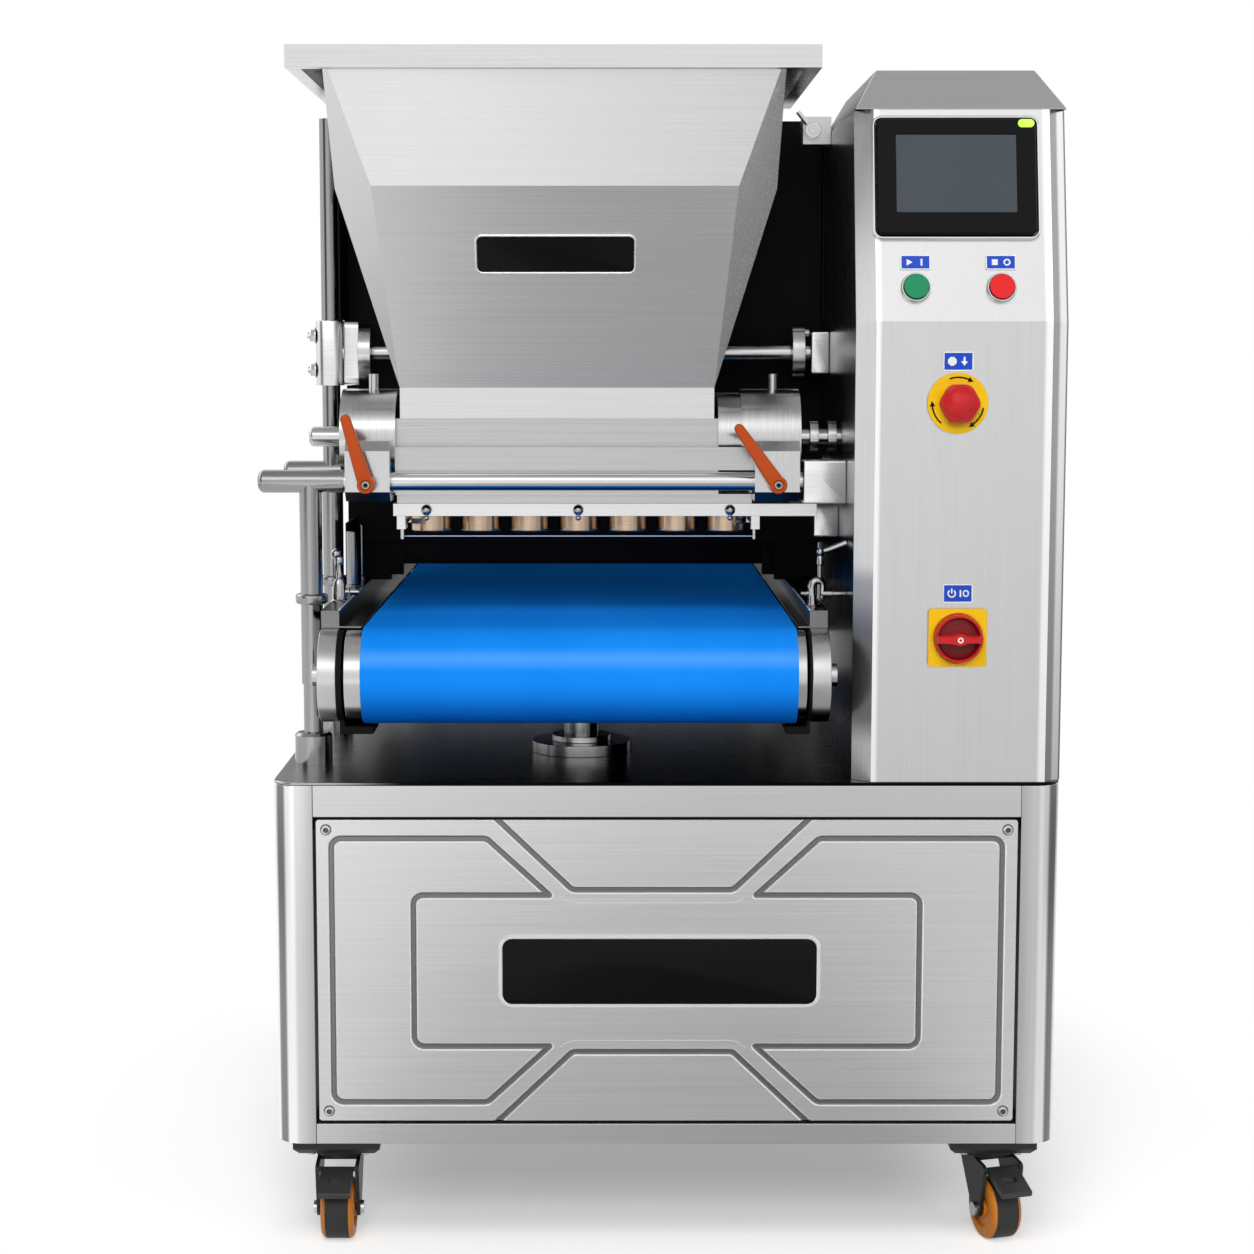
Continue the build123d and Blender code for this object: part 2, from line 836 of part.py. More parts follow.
def make_console():
    """Console shell with its cap, covers, screen and controls."""
    body = console_solid(0, console_back, deck_top, console_shoulder)
    body -= console_solid(
        console_wall, console_back + overcut, deck_top + console_wall, console_shoulder + overcut
    )
    for x in button_places.values():
        body -= peg(slant_plane, x, button_up, stem_radius + shaft_gap, -2 * console_wall, overcut)
    body -= peg(
        front_plane, -estop_left, estop_height, estop_stem_radius + shaft_gap, -2 * console_wall, overcut
    )
    body -= peg(front_plane, -switch_left, switch_height, stem_radius + shaft_gap, -2 * console_wall, overcut)
    wall = (console_left - overcut, console_left + 2 * console_wall)
    body -= rod_x(feed_shaft_radius + running_gap, *wall, feed_front, feed_axis_height)
    body -= rod_x(crank_radius + running_gap, *wall, rear_rail, crank_height)
    save("console_body", body)

    shoulder_y = console_front + console_lean
    low = Pos(console_x, (shoulder_y + console_back) / 2, console_shoulder) * Rectangle(
        console_width, console_back - shoulder_y
    )
    high_front = shoulder_y + cap_front_inset
    high_back = console_back - cap_back_inset
    high = Pos(console_x, (high_front + high_back) / 2, console_top) * Rectangle(
        console_width - 2 * cap_side_inset, high_back - high_front
    )
    cap = loft([low, high], ruled=True)
    low_in = Pos(0, 0, -facing_cut) * offset(low, -console_wall)
    high_in = Pos(0, 0, -console_wall) * offset(high, -console_wall)
    cap -= loft([low_in, high_in], ruled=True)
    save("console_cap", cap)

    cover_height = console_shoulder - deck_top
    rear = block(
        console_left, base_right, console_back, console_back + console_wall, deck_top, deck_top + cover_height
    )
    for row in range(louvre_count):
        z = console_kink + (row - (louvre_count - 1) / 2) * louvre_pitch
        rear -= block(
            console_x - louvre_length / 2, console_x + louvre_length / 2,
            console_back - overcut, console_back + console_wall + overcut,
            z - louvre_height / 2, z + louvre_height / 2,
        )
    save("console_rear_cover", rear)

    bezel = plate(
        slant_plane, -screen_left, screen_up, screen_width, screen_height, screen_thickness, screen_radius
    )
    outward = Axis((0, 0, 0), slant_plane.z_dir)
    bezel = chamfer(bezel.faces().sort_by(outward)[-1].outer_wire().edges(), screen_edge)
    window_y = screen_up + display_up
    bezel -= plate(
        slant_plane, -screen_left, window_y, display_width, display_height, screen_thickness, display_radius,
        screen_thickness - 2 * display_recess,
    )
    save("screen_bezel", bezel)
    save(
        "screen_glass",
        plate(
            slant_plane, -screen_left, window_y, display_width, display_height, display_recess,
            display_radius,
            screen_thickness - 2 * display_recess,
        ),
    )
    lamp_x = screen_width / 2 - screen_left - lamp_width / 2 - lamp_inset
    lamp_y = screen_up + screen_height / 2 - lamp_height / 2 - lamp_inset
    lamp_round = lamp_height / 2 - facing_cut
    lamp = plate(
        slant_plane, lamp_x, lamp_y, lamp_width, lamp_height, lamp_thickness, lamp_round, screen_thickness
    )
    save("status_lamp", lamp)

    bezels = []
    for name, x in button_places.items():
        ring = peg(slant_plane, x, button_up, bezel_radius, 0, bezel_height)
        ring -= peg(slant_plane, x, button_up, button_radius + button_gap, -overcut, bezel_height + overcut)
        bezels.append(ring)
        low_face = button_travel + button_stop_gap
        button = peg(slant_plane, x, button_up, button_radius, low_face, low_face + button_height)
        button += peg(slant_plane, x, button_up, stem_radius, -stem_length, low_face)
        save(name + "_button", button)
    save("button_bezels", *bezels)

    disc = peg(front_plane, -estop_left, estop_height, estop_disc_radius, 0, estop_disc)
    disc -= peg(
        front_plane, -estop_left, estop_height, estop_stem_radius + shaft_gap, -overcut, estop_disc + overcut
    )
    head_low = estop_disc + estop_travel + estop_collar
    head_high = head_low + estop_head_height
    socket = head_low + estop_head_height / 2
    save("estop_stem", peg(front_plane, -estop_left, estop_height, estop_stem_radius, -stem_length, socket))
    head = peg(front_plane, -estop_left, estop_height, estop_head_radius, head_low, head_high)
    head = fillet(head.edges().group_by(Axis.Y)[0], estop_head_height / 3)
    head -= peg(
        front_plane, -estop_left, estop_height, estop_stem_radius + shaft_gap, head_low - overcut,
        socket + shaft_gap
    )
    save("estop_head", head)

    base = plate(
        front_plane, -switch_left, switch_height, switch_plate, switch_plate, switch_plate_thickness,
        switch_plate_radius,
    )
    base -= peg(
        front_plane, -switch_left, switch_height, stem_radius + shaft_gap, -overcut,
        switch_plate_thickness + overcut,
    )
    save("control_backplates", disc, base)
    knob_low = switch_plate_thickness + running_gap
    knob_high = knob_low + switch_knob_height
    knob = peg(front_plane, -switch_left, switch_height, switch_knob_radius, knob_low, knob_high)
    knob += plate(
        front_plane, -switch_left, switch_height, 2 * (switch_knob_radius - switch_bar_inset),
        switch_bar_width, switch_bar_height, switch_bar_radius, knob_high,
    )
    knob += peg(front_plane, -switch_left, switch_height, stem_radius, -stem_length, knob_low)
    save("switch_knob", knob)

    labels = []
    for x in button_places.values():
        spot = (slant_plane, x, button_up + label_up)
        labels.append(plate(*spot, label_width, label_height, label_thickness, label_radius))
    for left, z in (
        (estop_left, estop_height + side_label_up), (switch_left, switch_height + switch_label_up)
    ):
        spot = (front_plane, -left, z)
        labels.append(plate(*spot, label_width, side_label_height, label_thickness, label_radius))
    save("label_plates", *labels)


def roller_liners(side, edge, inner):
    """Liners beside the rollers on one side plate, each with a chin below the belt's edge."""
    shoulder_gap = left_shoulder_gap if side < 0 else right_shoulder_gap
    x0, x1 = sorted((inner, inner - side * (shoulder_gap - liner_gap)))
    chin_x = sorted((inner, edge - side * chin_lap))
    chin_top = axis_height - belt_radius - chin_gap
    chin_low = chin_top - chin_depth
    liners = Part()
    for way, y in ((1, front_axis), (-1, rear_axis)):
        y0, y1 = sorted((y - way * chin_front, y + way * chin_back))
        liner = rod_x(side_plate_radius - liner_inset, x0, x1, y, axis_height)
        liner += block(x0, x1, y0, y1, chin_low, axis_height)
        liner -= rod_x(roller_shaft_radius + shaft_gap, x0 - overcut, x1 + overcut, y, axis_height)
        liner += block(*chin_x, y0, y1, chin_low, chin_top)
        liners += liner
    return liners


def make_conveyor():
    """Frame, belt, rollers, bed, guides and lift of the conveyor."""
    frame = Part()
    guides = []
    for side, edge, inner in ((-1, belt_left, left_plate_inner), (1, belt_right, right_plate_inner)):
        outer = inner + side * side_plate_thickness
        x0, x1 = sorted((inner, outer))
        slab = stadium_x(side_plate_radius, front_axis, rear_axis, axis_height, x0, x1)
        for y in (front_axis, rear_axis):
            slab -= rod_x(roller_shaft_radius + shaft_gap, x0 - overcut, x1 + overcut, y, axis_height)
        for y in ram_places:
            slab += block(x0, x1, y - cradle_length / 2, y + cradle_length / 2, cradle_low, axis_height)
        frame += slab
        frame += roller_liners(side, edge, inner)
        foot = axis_height + side_plate_radius
        roof = foot + guide_height
        ledge_edge = edge + side * belt_side_gap
        ledge = sorted((ledge_edge, outer))
        wall = sorted((inner, inner + side * guide_sheet))
        skirt = sorted((outer - side * guide_sheet, outer))
        guide = block(*ledge, front_axis, rear_axis, foot, foot + guide_sheet)
        guide += block(*wall, front_axis, rear_axis, foot, roof)
        guide += block(x0, x1, front_axis, rear_axis, roof - guide_sheet, roof)
        guide += block(*skirt, front_axis, rear_axis, roof - guide_lip, roof)
        for y in (front_axis, rear_axis - guide_sheet):
            guide += block(x0, x1, y, y + guide_sheet, foot, roof)
        screen_y = front + shield_y + shield_sheet + side_screen_gap
        screen_edge = outer if side < 0 else console_left - side_screen_gap
        screen = sorted((ledge_edge, screen_edge))
        guide += block(
            *screen, screen_y, screen_y + shield_sheet, roof - guide_sheet, shield_bottom + side_screen_lap
        )
        guides.append(guide)
    for y in ram_places:
        frame += block(
            plate_left, plate_right, y - cradle_length / 2, y + cradle_length / 2, cradle_low, cradle_top
        )
    save("conveyor_frame", frame)
    save("side_guides", *guides)

    loop = stadium_x(belt_radius, front_axis, rear_axis, axis_height, belt_left, belt_right)
    loop -= stadium_x(
        belt_inner_radius, front_axis, rear_axis, axis_height, belt_left - overcut, belt_right + overcut
    )
    save("belt", loop)

    nut_left = plate_left - running_gap
    nut_right = plate_right + running_gap
    for name, y in (("front_roller", front_axis), ("rear_roller", rear_axis)):
        drum_radius = belt_inner_radius - roller_gap
        drum = rod_x(drum_radius, belt_left - left_shoulder, belt_right + right_shoulder, y, axis_height)
        drum += rod_x(roller_shaft_radius, nut_left, nut_right, y, axis_height)
        drum += rod_x(shaft_nut_radius, nut_left - shaft_nut, nut_left, y, axis_height)
        drum += rod_x(shaft_nut_radius, nut_right, nut_right + shaft_nut, y, axis_height)
        save(name, drum)

    bed_top = axis_height + belt_inner_radius - roller_gap
    bed_low = bed_top - bed_sheet
    bed = block(
        belt_left + bed_edge_gap, belt_right - bed_edge_gap,
        front_axis + belt_radius + bed_end_gap, rear_axis - belt_radius - bed_end_gap, bed_low, bed_top,
    )
    for index in range(cross_tube_count):
        share = (index + 1) / (cross_tube_count + 1)
        y = front_axis + share * roller_spacing
        z = bed_top - cross_tube_radius
        bed += rod_x(
            cross_tube_radius, left_plate_inner, right_plate_inner, y, z
        )
    save("conveyor_bed", bed)

    flange_low = cradle_low - ram_flange
    jack_low = deck_under - jack_body_length
    jack_top = deck_top + jack_flange
    rams = []
    jacks = []
    for y in ram_places:
        ram = rod_z(ram_flange_radius, flange_low, cradle_low, conveyor_x, y)
        ram += rod_z(ram_radius, jack_low + ram_stroke_room, flange_low, conveyor_x, y)
        rams.append(ram)
        jack = rod_z(jack_body_radius, jack_low, deck_top, conveyor_x, y)
        jack += rod_z(jack_flange_radius, deck_top, jack_top, conveyor_x, y)
        jack += rod_z(jack_boss_radius, jack_top, jack_top + jack_boss, conveyor_x, y)
        jack -= rod_z(
            ram_radius + shaft_gap, jack_low + post_wall, jack_top + jack_boss + overcut, conveyor_x, y
        )
        jacks.append(jack)
    save("lift_rams", *rams)
    save("lift_jacks", *jacks)


def spur_gear(width, turn):
    """A spur gear with straight-sided teeth, about its own X axis at the origin."""
    module = roller_pitch / gear_teeth
    pitch_radius = roller_pitch / 2
    tip = pitch_radius + module - gear_clearance
    root = pitch_radius - tooth_depth_share * module
    half = pi * module / 4 - gear_backlash / 2
    flare = tooth_flare_share * module
    taper = tooth_taper_share * module
    tooth = make_face(
        Polyline(
            (root - overcut, -half - flare), (tip, -half + taper), (tip, half - taper), (root - overcut,
            half + flare),
            close=True,
        )
    )
    profile = Sketch() + Circle(root) + [
        Rot(0, 0, turn + index * 360 / gear_teeth) * tooth for index in range(gear_teeth)
    ]
    return extrude(Plane.YZ * profile, width)


def feed_roller(y, turn, shaft_left, shaft_right):
    """Fluted feed roller with its shaft and timing gear."""
    roller = rod_x(feed_radius, outlet_left + feed_gap, outlet_right - feed_gap, 0, 0)
    for index in range(flute_count):
        angle = 2 * pi * (index + turn / 360) / flute_count
        flute = rod_x(
            flute_radius, outlet_left, outlet_right, feed_radius * cos(angle), feed_radius * sin(angle)
        )
        roller -= flute
    roller += rod_x(feed_shaft_radius, shaft_left, shaft_right, 0, 0)
    gear_x = (body_right + gear_case_end - gear_width) / 2
    gear = Pos(gear_x, 0, 0) * spur_gear(gear_width, turn)
    return Pos(0, y, feed_axis_height) * (roller + gear)


def housing_section(radius, x0, x1):
    """Obround casing round both feed roller axes."""
    return stadium_x(radius, feed_front, feed_rear, feed_axis_height, x0, x1)


def clamp_block(x0, x1):
    """Clamp block of an end housing, on the front rail."""
    y0 = clamp_face
    y1 = clamp_face + clamp_depth
    points = [
        (y0, clamp_bottom + clamp_chamfer), (y0 + clamp_chamfer, clamp_bottom), (y1, clamp_bottom),
        (y1, clamp_top), (y0 + clamp_chamfer, clamp_top), (y0, clamp_top - clamp_chamfer),
    ]
    return side_profile(points, x0, x1)


def end_housing(x0, x1, block_x):
    """One end housing with its clamp block, rear lug and grease pin, bored for shafts and rails."""
    casing = housing_section(housing_radius, x0, x1)
    casing += clamp_block(block_x - clamp_width / 2, block_x + clamp_width / 2)
    casing += block(
        block_x - clamp_width / 2, block_x + clamp_width / 2, feed_rear, rear_rail + lug_reach,
        rail_height - lug_half_height, rail_height + lug_half_height,
    )
    pin_top = feed_axis_height + housing_radius + grease_pin_height
    casing += rod_z(grease_pin_radius, feed_axis_height, pin_top, block_x, feed_front)
    for y in (front_rail, rear_rail):
        casing -= rod_x(rail_radius, x0 - overcut, x1 + overcut, y, rail_height)
    for y in (feed_front, feed_rear):
        casing -= rod_x(feed_shaft_radius + shaft_gap, x0 - overcut, x1 + overcut, y, feed_axis_height)
    casing -= rod_y(
        lever_stud_radius + shaft_gap, clamp_face - overcut, clamp_face + lever_stud + stud_end_gap,
        block_x, lever_axis_height
    )
    return casing


def make_head():
    """Pump body, housings, feed rollers, nozzle bar, nozzles, levers and wire cutter."""
    y0 = head_middle - body_half_depth
    y1 = head_middle + body_half_depth
    body = block(body_left, body_right, y0, y1, body_step, body_top)
    body += block(
        body_left, body_right, y0 - body_ledge_out, y1 + body_ledge_out, body_top - body_ledge, body_top
    )
    bar_depth = (head_middle - bar_half_depth, head_middle + bar_half_depth)
    manifold_half = bar_half_depth - manifold_step
    manifold = (head_middle - manifold_half, head_middle + manifold_half)
    body += block(body_left, manifold_right, *manifold, bar_top, body_step)
    strip_bottom = rail_height + rail_radius + strip_gap
    body += block(body_left, manifold_right, y0 - body_ledge_out, y0, strip_bottom, body_top)
    collar = extrude(
        Rectangle(2 * (neck_half + throat_wall), 2 * (neck_half_depth + throat_wall))
        - Rectangle(2 * neck_half, 2 * neck_half_depth),
        throat_top - body_top,
    )
    body += Pos(hopper_x, head_middle, body_top) * collar
    for y in (feed_front, feed_rear):
        body -= rod_x(feed_radius + feed_gap, outlet_left, outlet_right, y, feed_axis_height)
        body -= rod_x(
            feed_shaft_radius + running_gap, body_left - overcut, body_right + overcut, y, feed_axis_height
        )
    body -= block(
        outlet_left, outlet_right, head_middle - outlet_half, head_middle + outlet_half, bar_top - overcut,
        body_top + overcut
    )
    body -= block(
        outlet_right - overcut, last_nozzle + nozzle_bore,
        head_middle - outlet_half, head_middle + outlet_half,
        bar_top - overcut, body_step - manifold_roof,
    )
    save("pump_body", body)

    left_block_x = left_housing_x + left_clamp_inset + clamp_width / 2
    right_block_x = right_housing_x - right_clamp_inset - clamp_width / 2
    left = end_housing(left_housing_x, body_left, left_block_x)
    save("end_housing_left", left)
    right = end_housing(gear_case_end, right_housing_x, right_block_x)
    right += housing_section(gear_case_radius, body_right, gear_case_end)
    right -= housing_section(roller_pitch / 2 + gear_case_room, body_right, gear_case_end)
    save("end_housing_right", right)

    shaft_right = console_left + motor_bore
    handle_end = left_housing_x - running_gap
    handle = rod_x(handle_radius, handle_end - handle_length, handle_end, feed_front, feed_axis_height)
    handle = fillet(handle.edges().group_by(Axis.X)[0], handle_round)
    front_feed = feed_roller(feed_front, 0, handle_end - handle_length / 2, shaft_right) + handle
    for x0 in (right_housing_x + coupling_inset, console_left - coupling_disc - coupling_wall_gap):
        front_feed += rod_x(coupling_radius, x0, x0 + coupling_disc, feed_front, feed_axis_height)
    save("feed_roller_front", front_feed)
    half_tooth = 180 / gear_teeth
    rear_ends = (left_housing_x + feed_shaft_cover, right_housing_x - feed_shaft_cover)
    save("feed_roller_rear", feed_roller(feed_rear, half_tooth, *rear_ends))

    motor = rod_x(
        motor_radius, console_left + console_wall, console_left + console_wall + motor_length, feed_front,
        feed_axis_height,
    )
    motor -= rod_x(
        feed_shaft_radius + running_gap, console_left, shaft_right + overcut, feed_front, feed_axis_height
    )
    save("feed_motor", motor)

    bar = block(bar_left, bar_right, *bar_depth, bar_bottom, bar_top)
    nozzles = []
    for index in range(nozzle_count):
        x = nozzle_x + (index - (nozzle_count - 1) / 2) * nozzle_pitch
        bar -= rod_z(nozzle_neck_radius + shaft_gap, bar_bottom - overcut, bar_top + overcut, x, head_middle)
        nozzle = rod_z(nozzle_radius, bar_bottom - nozzle_height, bar_bottom, x, head_middle)
        nozzle = chamfer(nozzle.edges().group_by(Axis.Z)[0], nozzle_bevel)
        nozzle += rod_z(nozzle_neck_radius, bar_bottom, bar_bottom + nozzle_neck, x, head_middle)
        nozzle -= rod_z(nozzle_bore, bar_bottom - nozzle_height / 2, bar_top, x, head_middle)
        nozzle -= rod_z(nozzle_tip_bore, bar_bottom - nozzle_height - overcut, bar_bottom, x, head_middle)
        nozzles.append(nozzle)
    save("nozzles", *nozzles)

    reach = last_nozzle - nozzle_x + nozzle_radius + cutter_arm_width / 2 + cutter_side_gap
    rod_z_level = bar_bottom - cutter_rod_drop
    arms = []
    for side in (-1, 1):
        x = nozzle_x + side * reach
        bar += rod_y(
            cutter_rod_radius, head_middle - cutter_rod_half, head_middle + cutter_rod_half, x, rod_z_level
        )
        for end in (-1, 1):
            y = head_middle + end * (cutter_rod_half + cutter_lug / 2)
            bar += block(
                x - cutter_arm_width / 2, x + cutter_arm_width / 2, y - cutter_lug / 2, y + cutter_lug / 2,
                rod_z_level - cutter_rod_radius - cutter_lug_rim, bar_bottom,
            )
        arm_y = head_middle + cutter_start
        slider_bottom = rod_z_level - cutter_rod_radius - cutter_lug_rim
        arm = block(
            x - cutter_arm_width / 2, x + cutter_arm_width / 2, arm_y - cutter_arm_length / 2,
            arm_y + cutter_arm_length / 2, slider_bottom, bar_bottom - running_gap,
        )
        arm += rod_z(
            cutter_stem_radius, bar_bottom - nozzle_height - cutter_stem_drop, slider_bottom, x, arm_y
        )
        arms.append(arm)
    save("nozzle_bar", bar)
    wire_z = bar_bottom - nozzle_height - cutter_wire_drop
    cutter = arms[0] + arms[1]
    cutter += rod_x(
        cutter_wire_radius, nozzle_x - reach, nozzle_x + reach, head_middle + cutter_start, wire_z
    )
    for side in (-1, 1):
        cutter -= rod_y(
            cutter_rod_radius + shaft_gap, head_middle - cutter_rod_half, head_middle + cutter_rod_half,
            nozzle_x + side * reach, rod_z_level,
        )
    save("wire_cutter", cutter)

    levers = {"left": (left_block_x, left_lever_angle), "right": (right_block_x, right_lever_angle)}
    for name, (x, angle) in levers.items():
        save("clamp_lever_" + name, Pos(x, clamp_face, lever_axis_height) * clamp_lever(angle))


def clamp_lever(angle):
    """Lever with a round hub and a stud, turning about Y and leaning to the left of upright."""
    arm = make_hull(
        (
            Sketch() + [
                Circle(lever_root_radius),
                Pos(0, lever_length) * Circle(lever_tip_radius),
            ]
        ).edges()
    )
    gap = running_gap
    handle = extrude(Plane.XZ * arm, lever_thickness)
    handle = Pos(0, -gap - lever_lift, 0) * handle
    handle = fillet(handle.edges().group_by(Axis.Y)[0], lever_round)
    handle = Rot(0, -angle, 0) * handle
    handle += rod_y(lever_hub_radius, -gap - lever_lift - lever_hub_height / 2, -gap, 0, 0)
    handle += rod_y(lever_stud_radius, -gap, lever_stud, 0, 0)
    return handle


def make_supports():
    """Rails, left posts, console brackets, cross shaft and its bearings."""
    front_bar = rod_x(rail_radius, tee_inner - tee_socket, console_left, front_rail, rail_height)
    rear_bar = rod_x(rail_radius, tee_inner - tee_socket, console_left, rear_rail, rail_height)
    save("cross_rails", front_bar, rear_bar)

    posts = []
    for y in (front_rail, rear_rail):
        post = rod_z(post_foot_radius, deck_top, deck_top + post_foot_height, post_x, y)
        post = chamfer(post.edges().group_by(Axis.Z)[-1], post_foot_bevel)
        post += rod_z(post_rod_radius, deck_top, post_sleeve_bottom, post_x, y)
        post += rod_z(post_sleeve_radius, post_sleeve_bottom, rail_height, post_x, y)
        ring = rod_z(
            post_ring_radius, post_ring_height - post_ring_width / 2,
            post_ring_height + post_ring_width / 2, post_x, y
        )
        post += fillet(ring.edges(), post_ring_width / 3)
        tee = rod_x(tee_radius, tee_end, tee_inner, y, rail_height)
        tee = fillet(tee.edges().group_by(Axis.X)[0], tee_round)
        post += tee
        if y == rear_rail:
            post += rod_z(column_radius, rail_height, column_top, post_x, y)
        post -= rod_x(rail_radius, tee_inner - tee_socket, tee_inner + overcut, y, rail_height)
        posts.append(post)
    save("guide_posts", *posts)

    bracket = block(
        bracket_left, console_left, front_rail - bracket_half_depth, front_rail + bracket_half_depth,
        rail_height - bracket_half_height, rail_height + bracket_half_height,
    )
    bracket -= rod_x(rail_radius, bracket_left - overcut, console_left + overcut, front_rail, rail_height)
    bar_bracket = block(
        bar_right, console_left, head_middle - bar_bracket_half_depth, head_middle + bar_bracket_half_depth,
        bar_bottom - bar_bracket_drop, bar_top,
    )
    flange_left = console_left - rear_flange_width
    rear_flange = rod_x(bracket_half_height, flange_left, console_left, rear_rail, rail_height)
    rear_flange -= rod_x(rail_radius, flange_left - overcut, console_left + overcut, rear_rail, rail_height)

    left_bearing = block(
        post_x - column_radius - bearing_wall, crank_left_x, rear_rail - bearing_half_depth,
        rear_rail + bearing_half_depth,
        crank_height - bearing_half, crank_height + bearing_half,
    )
    bearing_low = crank_height - bearing_half - overcut
    bearing_high = crank_height + bearing_half + overcut
    left_bearing -= rod_z(column_radius, bearing_low, bearing_high, post_x, rear_rail)
    shaft_hole = crank_radius + shaft_gap
    left_bearing -= rod_x(
        shaft_hole, post_x + column_radius + bearing_web, crank_left_x + overcut, rear_rail, crank_height
    )
    right_bearing = block(
        console_left - bearing_block, console_left, rear_rail - bearing_block_half,
        rear_rail + bearing_block_half,
        crank_height - bearing_block_half, crank_height + bearing_block_half,
    )
    right_bearing -= rod_x(
        shaft_hole, console_left - bearing_block - overcut, console_left + overcut, rear_rail, crank_height
    )
    save("bearing_brackets", bracket, bar_bracket, rear_flange, left_bearing, right_bearing)

    shaft = rod_x(
        crank_radius, post_x + column_radius + bearing_web + disc_gap,
        console_left + console_wall + crank_end,
        rear_rail, crank_height,
    )
    left_disc = crank_left_x + running_gap
    shaft += rod_x(crank_disc_radius, left_disc, left_disc + crank_disc, rear_rail, crank_height)
    shaft += rod_x(crank_disc_radius, crank_right_x, crank_right_x + crank_disc, rear_rail, crank_height)
    pin_x = crank_right_x + crank_disc
    pin_end = console_left - bearing_block - disc_gap
    shaft += rod_x(crank_pin_radius, pin_x, pin_end, rear_rail, crank_height + crank_pin_reach)
    save("crank_shaft", shaft)

    shield_left = post_x + column_radius
    shield_face = front + shield_y
    shield = block(
        shield_left, console_left, shield_face, shield_face + shield_sheet, shield_bottom, shield_top
    )
    for x0, x1, y0 in (
        (shield_left, shield_left + shield_sheet, rear_rail - column_radius),
        (console_left - shield_sheet, console_left, shield_face - shield_flange),
    ):
        shield += block(x0, x1, y0, shield_face, crank_height + bearing_half, shield_top)
    save("rear_shield", shield)


def skin_points(inset, top):
    """Corner rings of the hopper from its top edge down to its neck, drawn in by an inset."""
    x = hopper_top_half - inset
    y = hopper_top_half_depth - inset
    top_ring = [(sx * x, sy * y, top) for sx, sy in ((-1, -1), (1, -1), (1, 1), (-1, 1))]
    cx = crease_half - inset
    cy = crease_half_depth - inset
    fx = cx - crease_cut_x
    fy = cy - crease_cut_y
    crease = [
        (-fx, -cy), (fx, -cy), (cx, -fy), (cx, fy), (fx, cy), (-fx, cy), (-cx, fy), (-cx, -fy),
    ]
    crease_ring = [(a, b, crease_height) for a, b in crease]
    nx = neck_half - inset
    ny = neck_half_depth - inset
    neck_ring = [(sx * nx, sy * ny, neck_height) for sx, sy in ((-1, -1), (1, -1), (1, 1), (-1, 1))]
    return top_ring, crease_ring, neck_ring


def hopper_form(inset, top, bottom):
    """Closed form of the hopper: four sloped walls, folded corners and a straight neck."""
    top_ring, crease_ring, neck_ring = skin_points(inset, top)
    low_ring = [(a, b, bottom) for a, b, _ in neck_ring]
    faces = []
    for ring in (top_ring, low_ring):
        faces.append(ring)
    for side in range(4):
        after = (side + 1) % 4
        left_fold = crease_ring[2 * side]
        right_fold = crease_ring[2 * side + 1]
        next_fold = crease_ring[(2 * side + 2) % 8]
        faces.append([top_ring[side], top_ring[after], right_fold, left_fold])
        faces.append([left_fold, right_fold, neck_ring[after], neck_ring[side]])
        faces.append([top_ring[after], next_fold, right_fold])
        faces.append([right_fold, next_fold, neck_ring[after]])
        faces.append([neck_ring[side], neck_ring[after], low_ring[after], low_ring[side]])
    shell = Shell([Face(Wire.make_polygon([Vector(*p) for p in ring], close=True)) for ring in faces])
    return Solid(shell)


def make_hopper():
    """Hopper with its folded rim, standing on the pump body."""
    skin_top = hopper_top - hopper_sheet / 2
    skin = Part() + hopper_form(0, skin_top, body_top)
    skin -= Part() + hopper_form(hopper_sheet, skin_top + facing_cut, body_top - facing_cut)
    inner_width = rim_width - 2 * hopper_sheet
    inner_depth = rim_depth - 2 * hopper_sheet
    mouth = Rectangle(2 * (hopper_top_half - hopper_sheet), 2 * (hopper_top_half_depth - hopper_sheet))
    rim = extrude(Rectangle(rim_width, rim_depth) - mouth, rim_height)
    rim -= Pos(0, 0, hopper_sheet) * extrude(
        Rectangle(inner_width, inner_depth), rim_height - 2 * hopper_sheet
    )
    rim -= extrude(Rectangle(inner_width - 2 * rim_lip, inner_depth - 2 * rim_lip), hopper_sheet)
    hopper = Pos(hopper_x, head_middle, 0) * (skin + Pos(0, 0, rim_bottom) * rim)
    for y in (feed_front, feed_rear):
        hopper -= rod_x(
            feed_radius + feed_gap + neck_slot_gap, outlet_left, outlet_right, y, feed_axis_height
        )
        hopper -= rod_x(feed_shaft_radius + running_gap, body_left, body_right, y, feed_axis_height)
    save("hopper", hopper)


def make_badges():
    """Bare badge plates of the base and the hopper."""
    face = Plane((0, front + panel_face, panel_middle_z), x_dir=(1, 0, 0), z_dir=(0, -1, 0))
    badge_spot = (face, -base_badge_left, 0)
    base_badge = plate(*badge_spot, base_badge_width, base_badge_height, badge_thickness, base_badge_radius)
    slope = atan2(crease_half_depth - neck_half_depth, crease_height - neck_height)
    middle = ((crease_half_depth + neck_half_depth) / 2, (crease_height + neck_height) / 2)
    wall = Plane(
        (hopper_x, head_middle - middle[0], middle[1]), x_dir=(1, 0, 0), z_dir=(0, -cos(slope), -sin(slope))
    )
    hopper_badge = plate(
        wall, 0, hopper_badge_up, hopper_badge_width, hopper_badge_height, badge_thickness,
        hopper_badge_radius,
    )
    save("badge_plates", base_badge, hopper_badge)


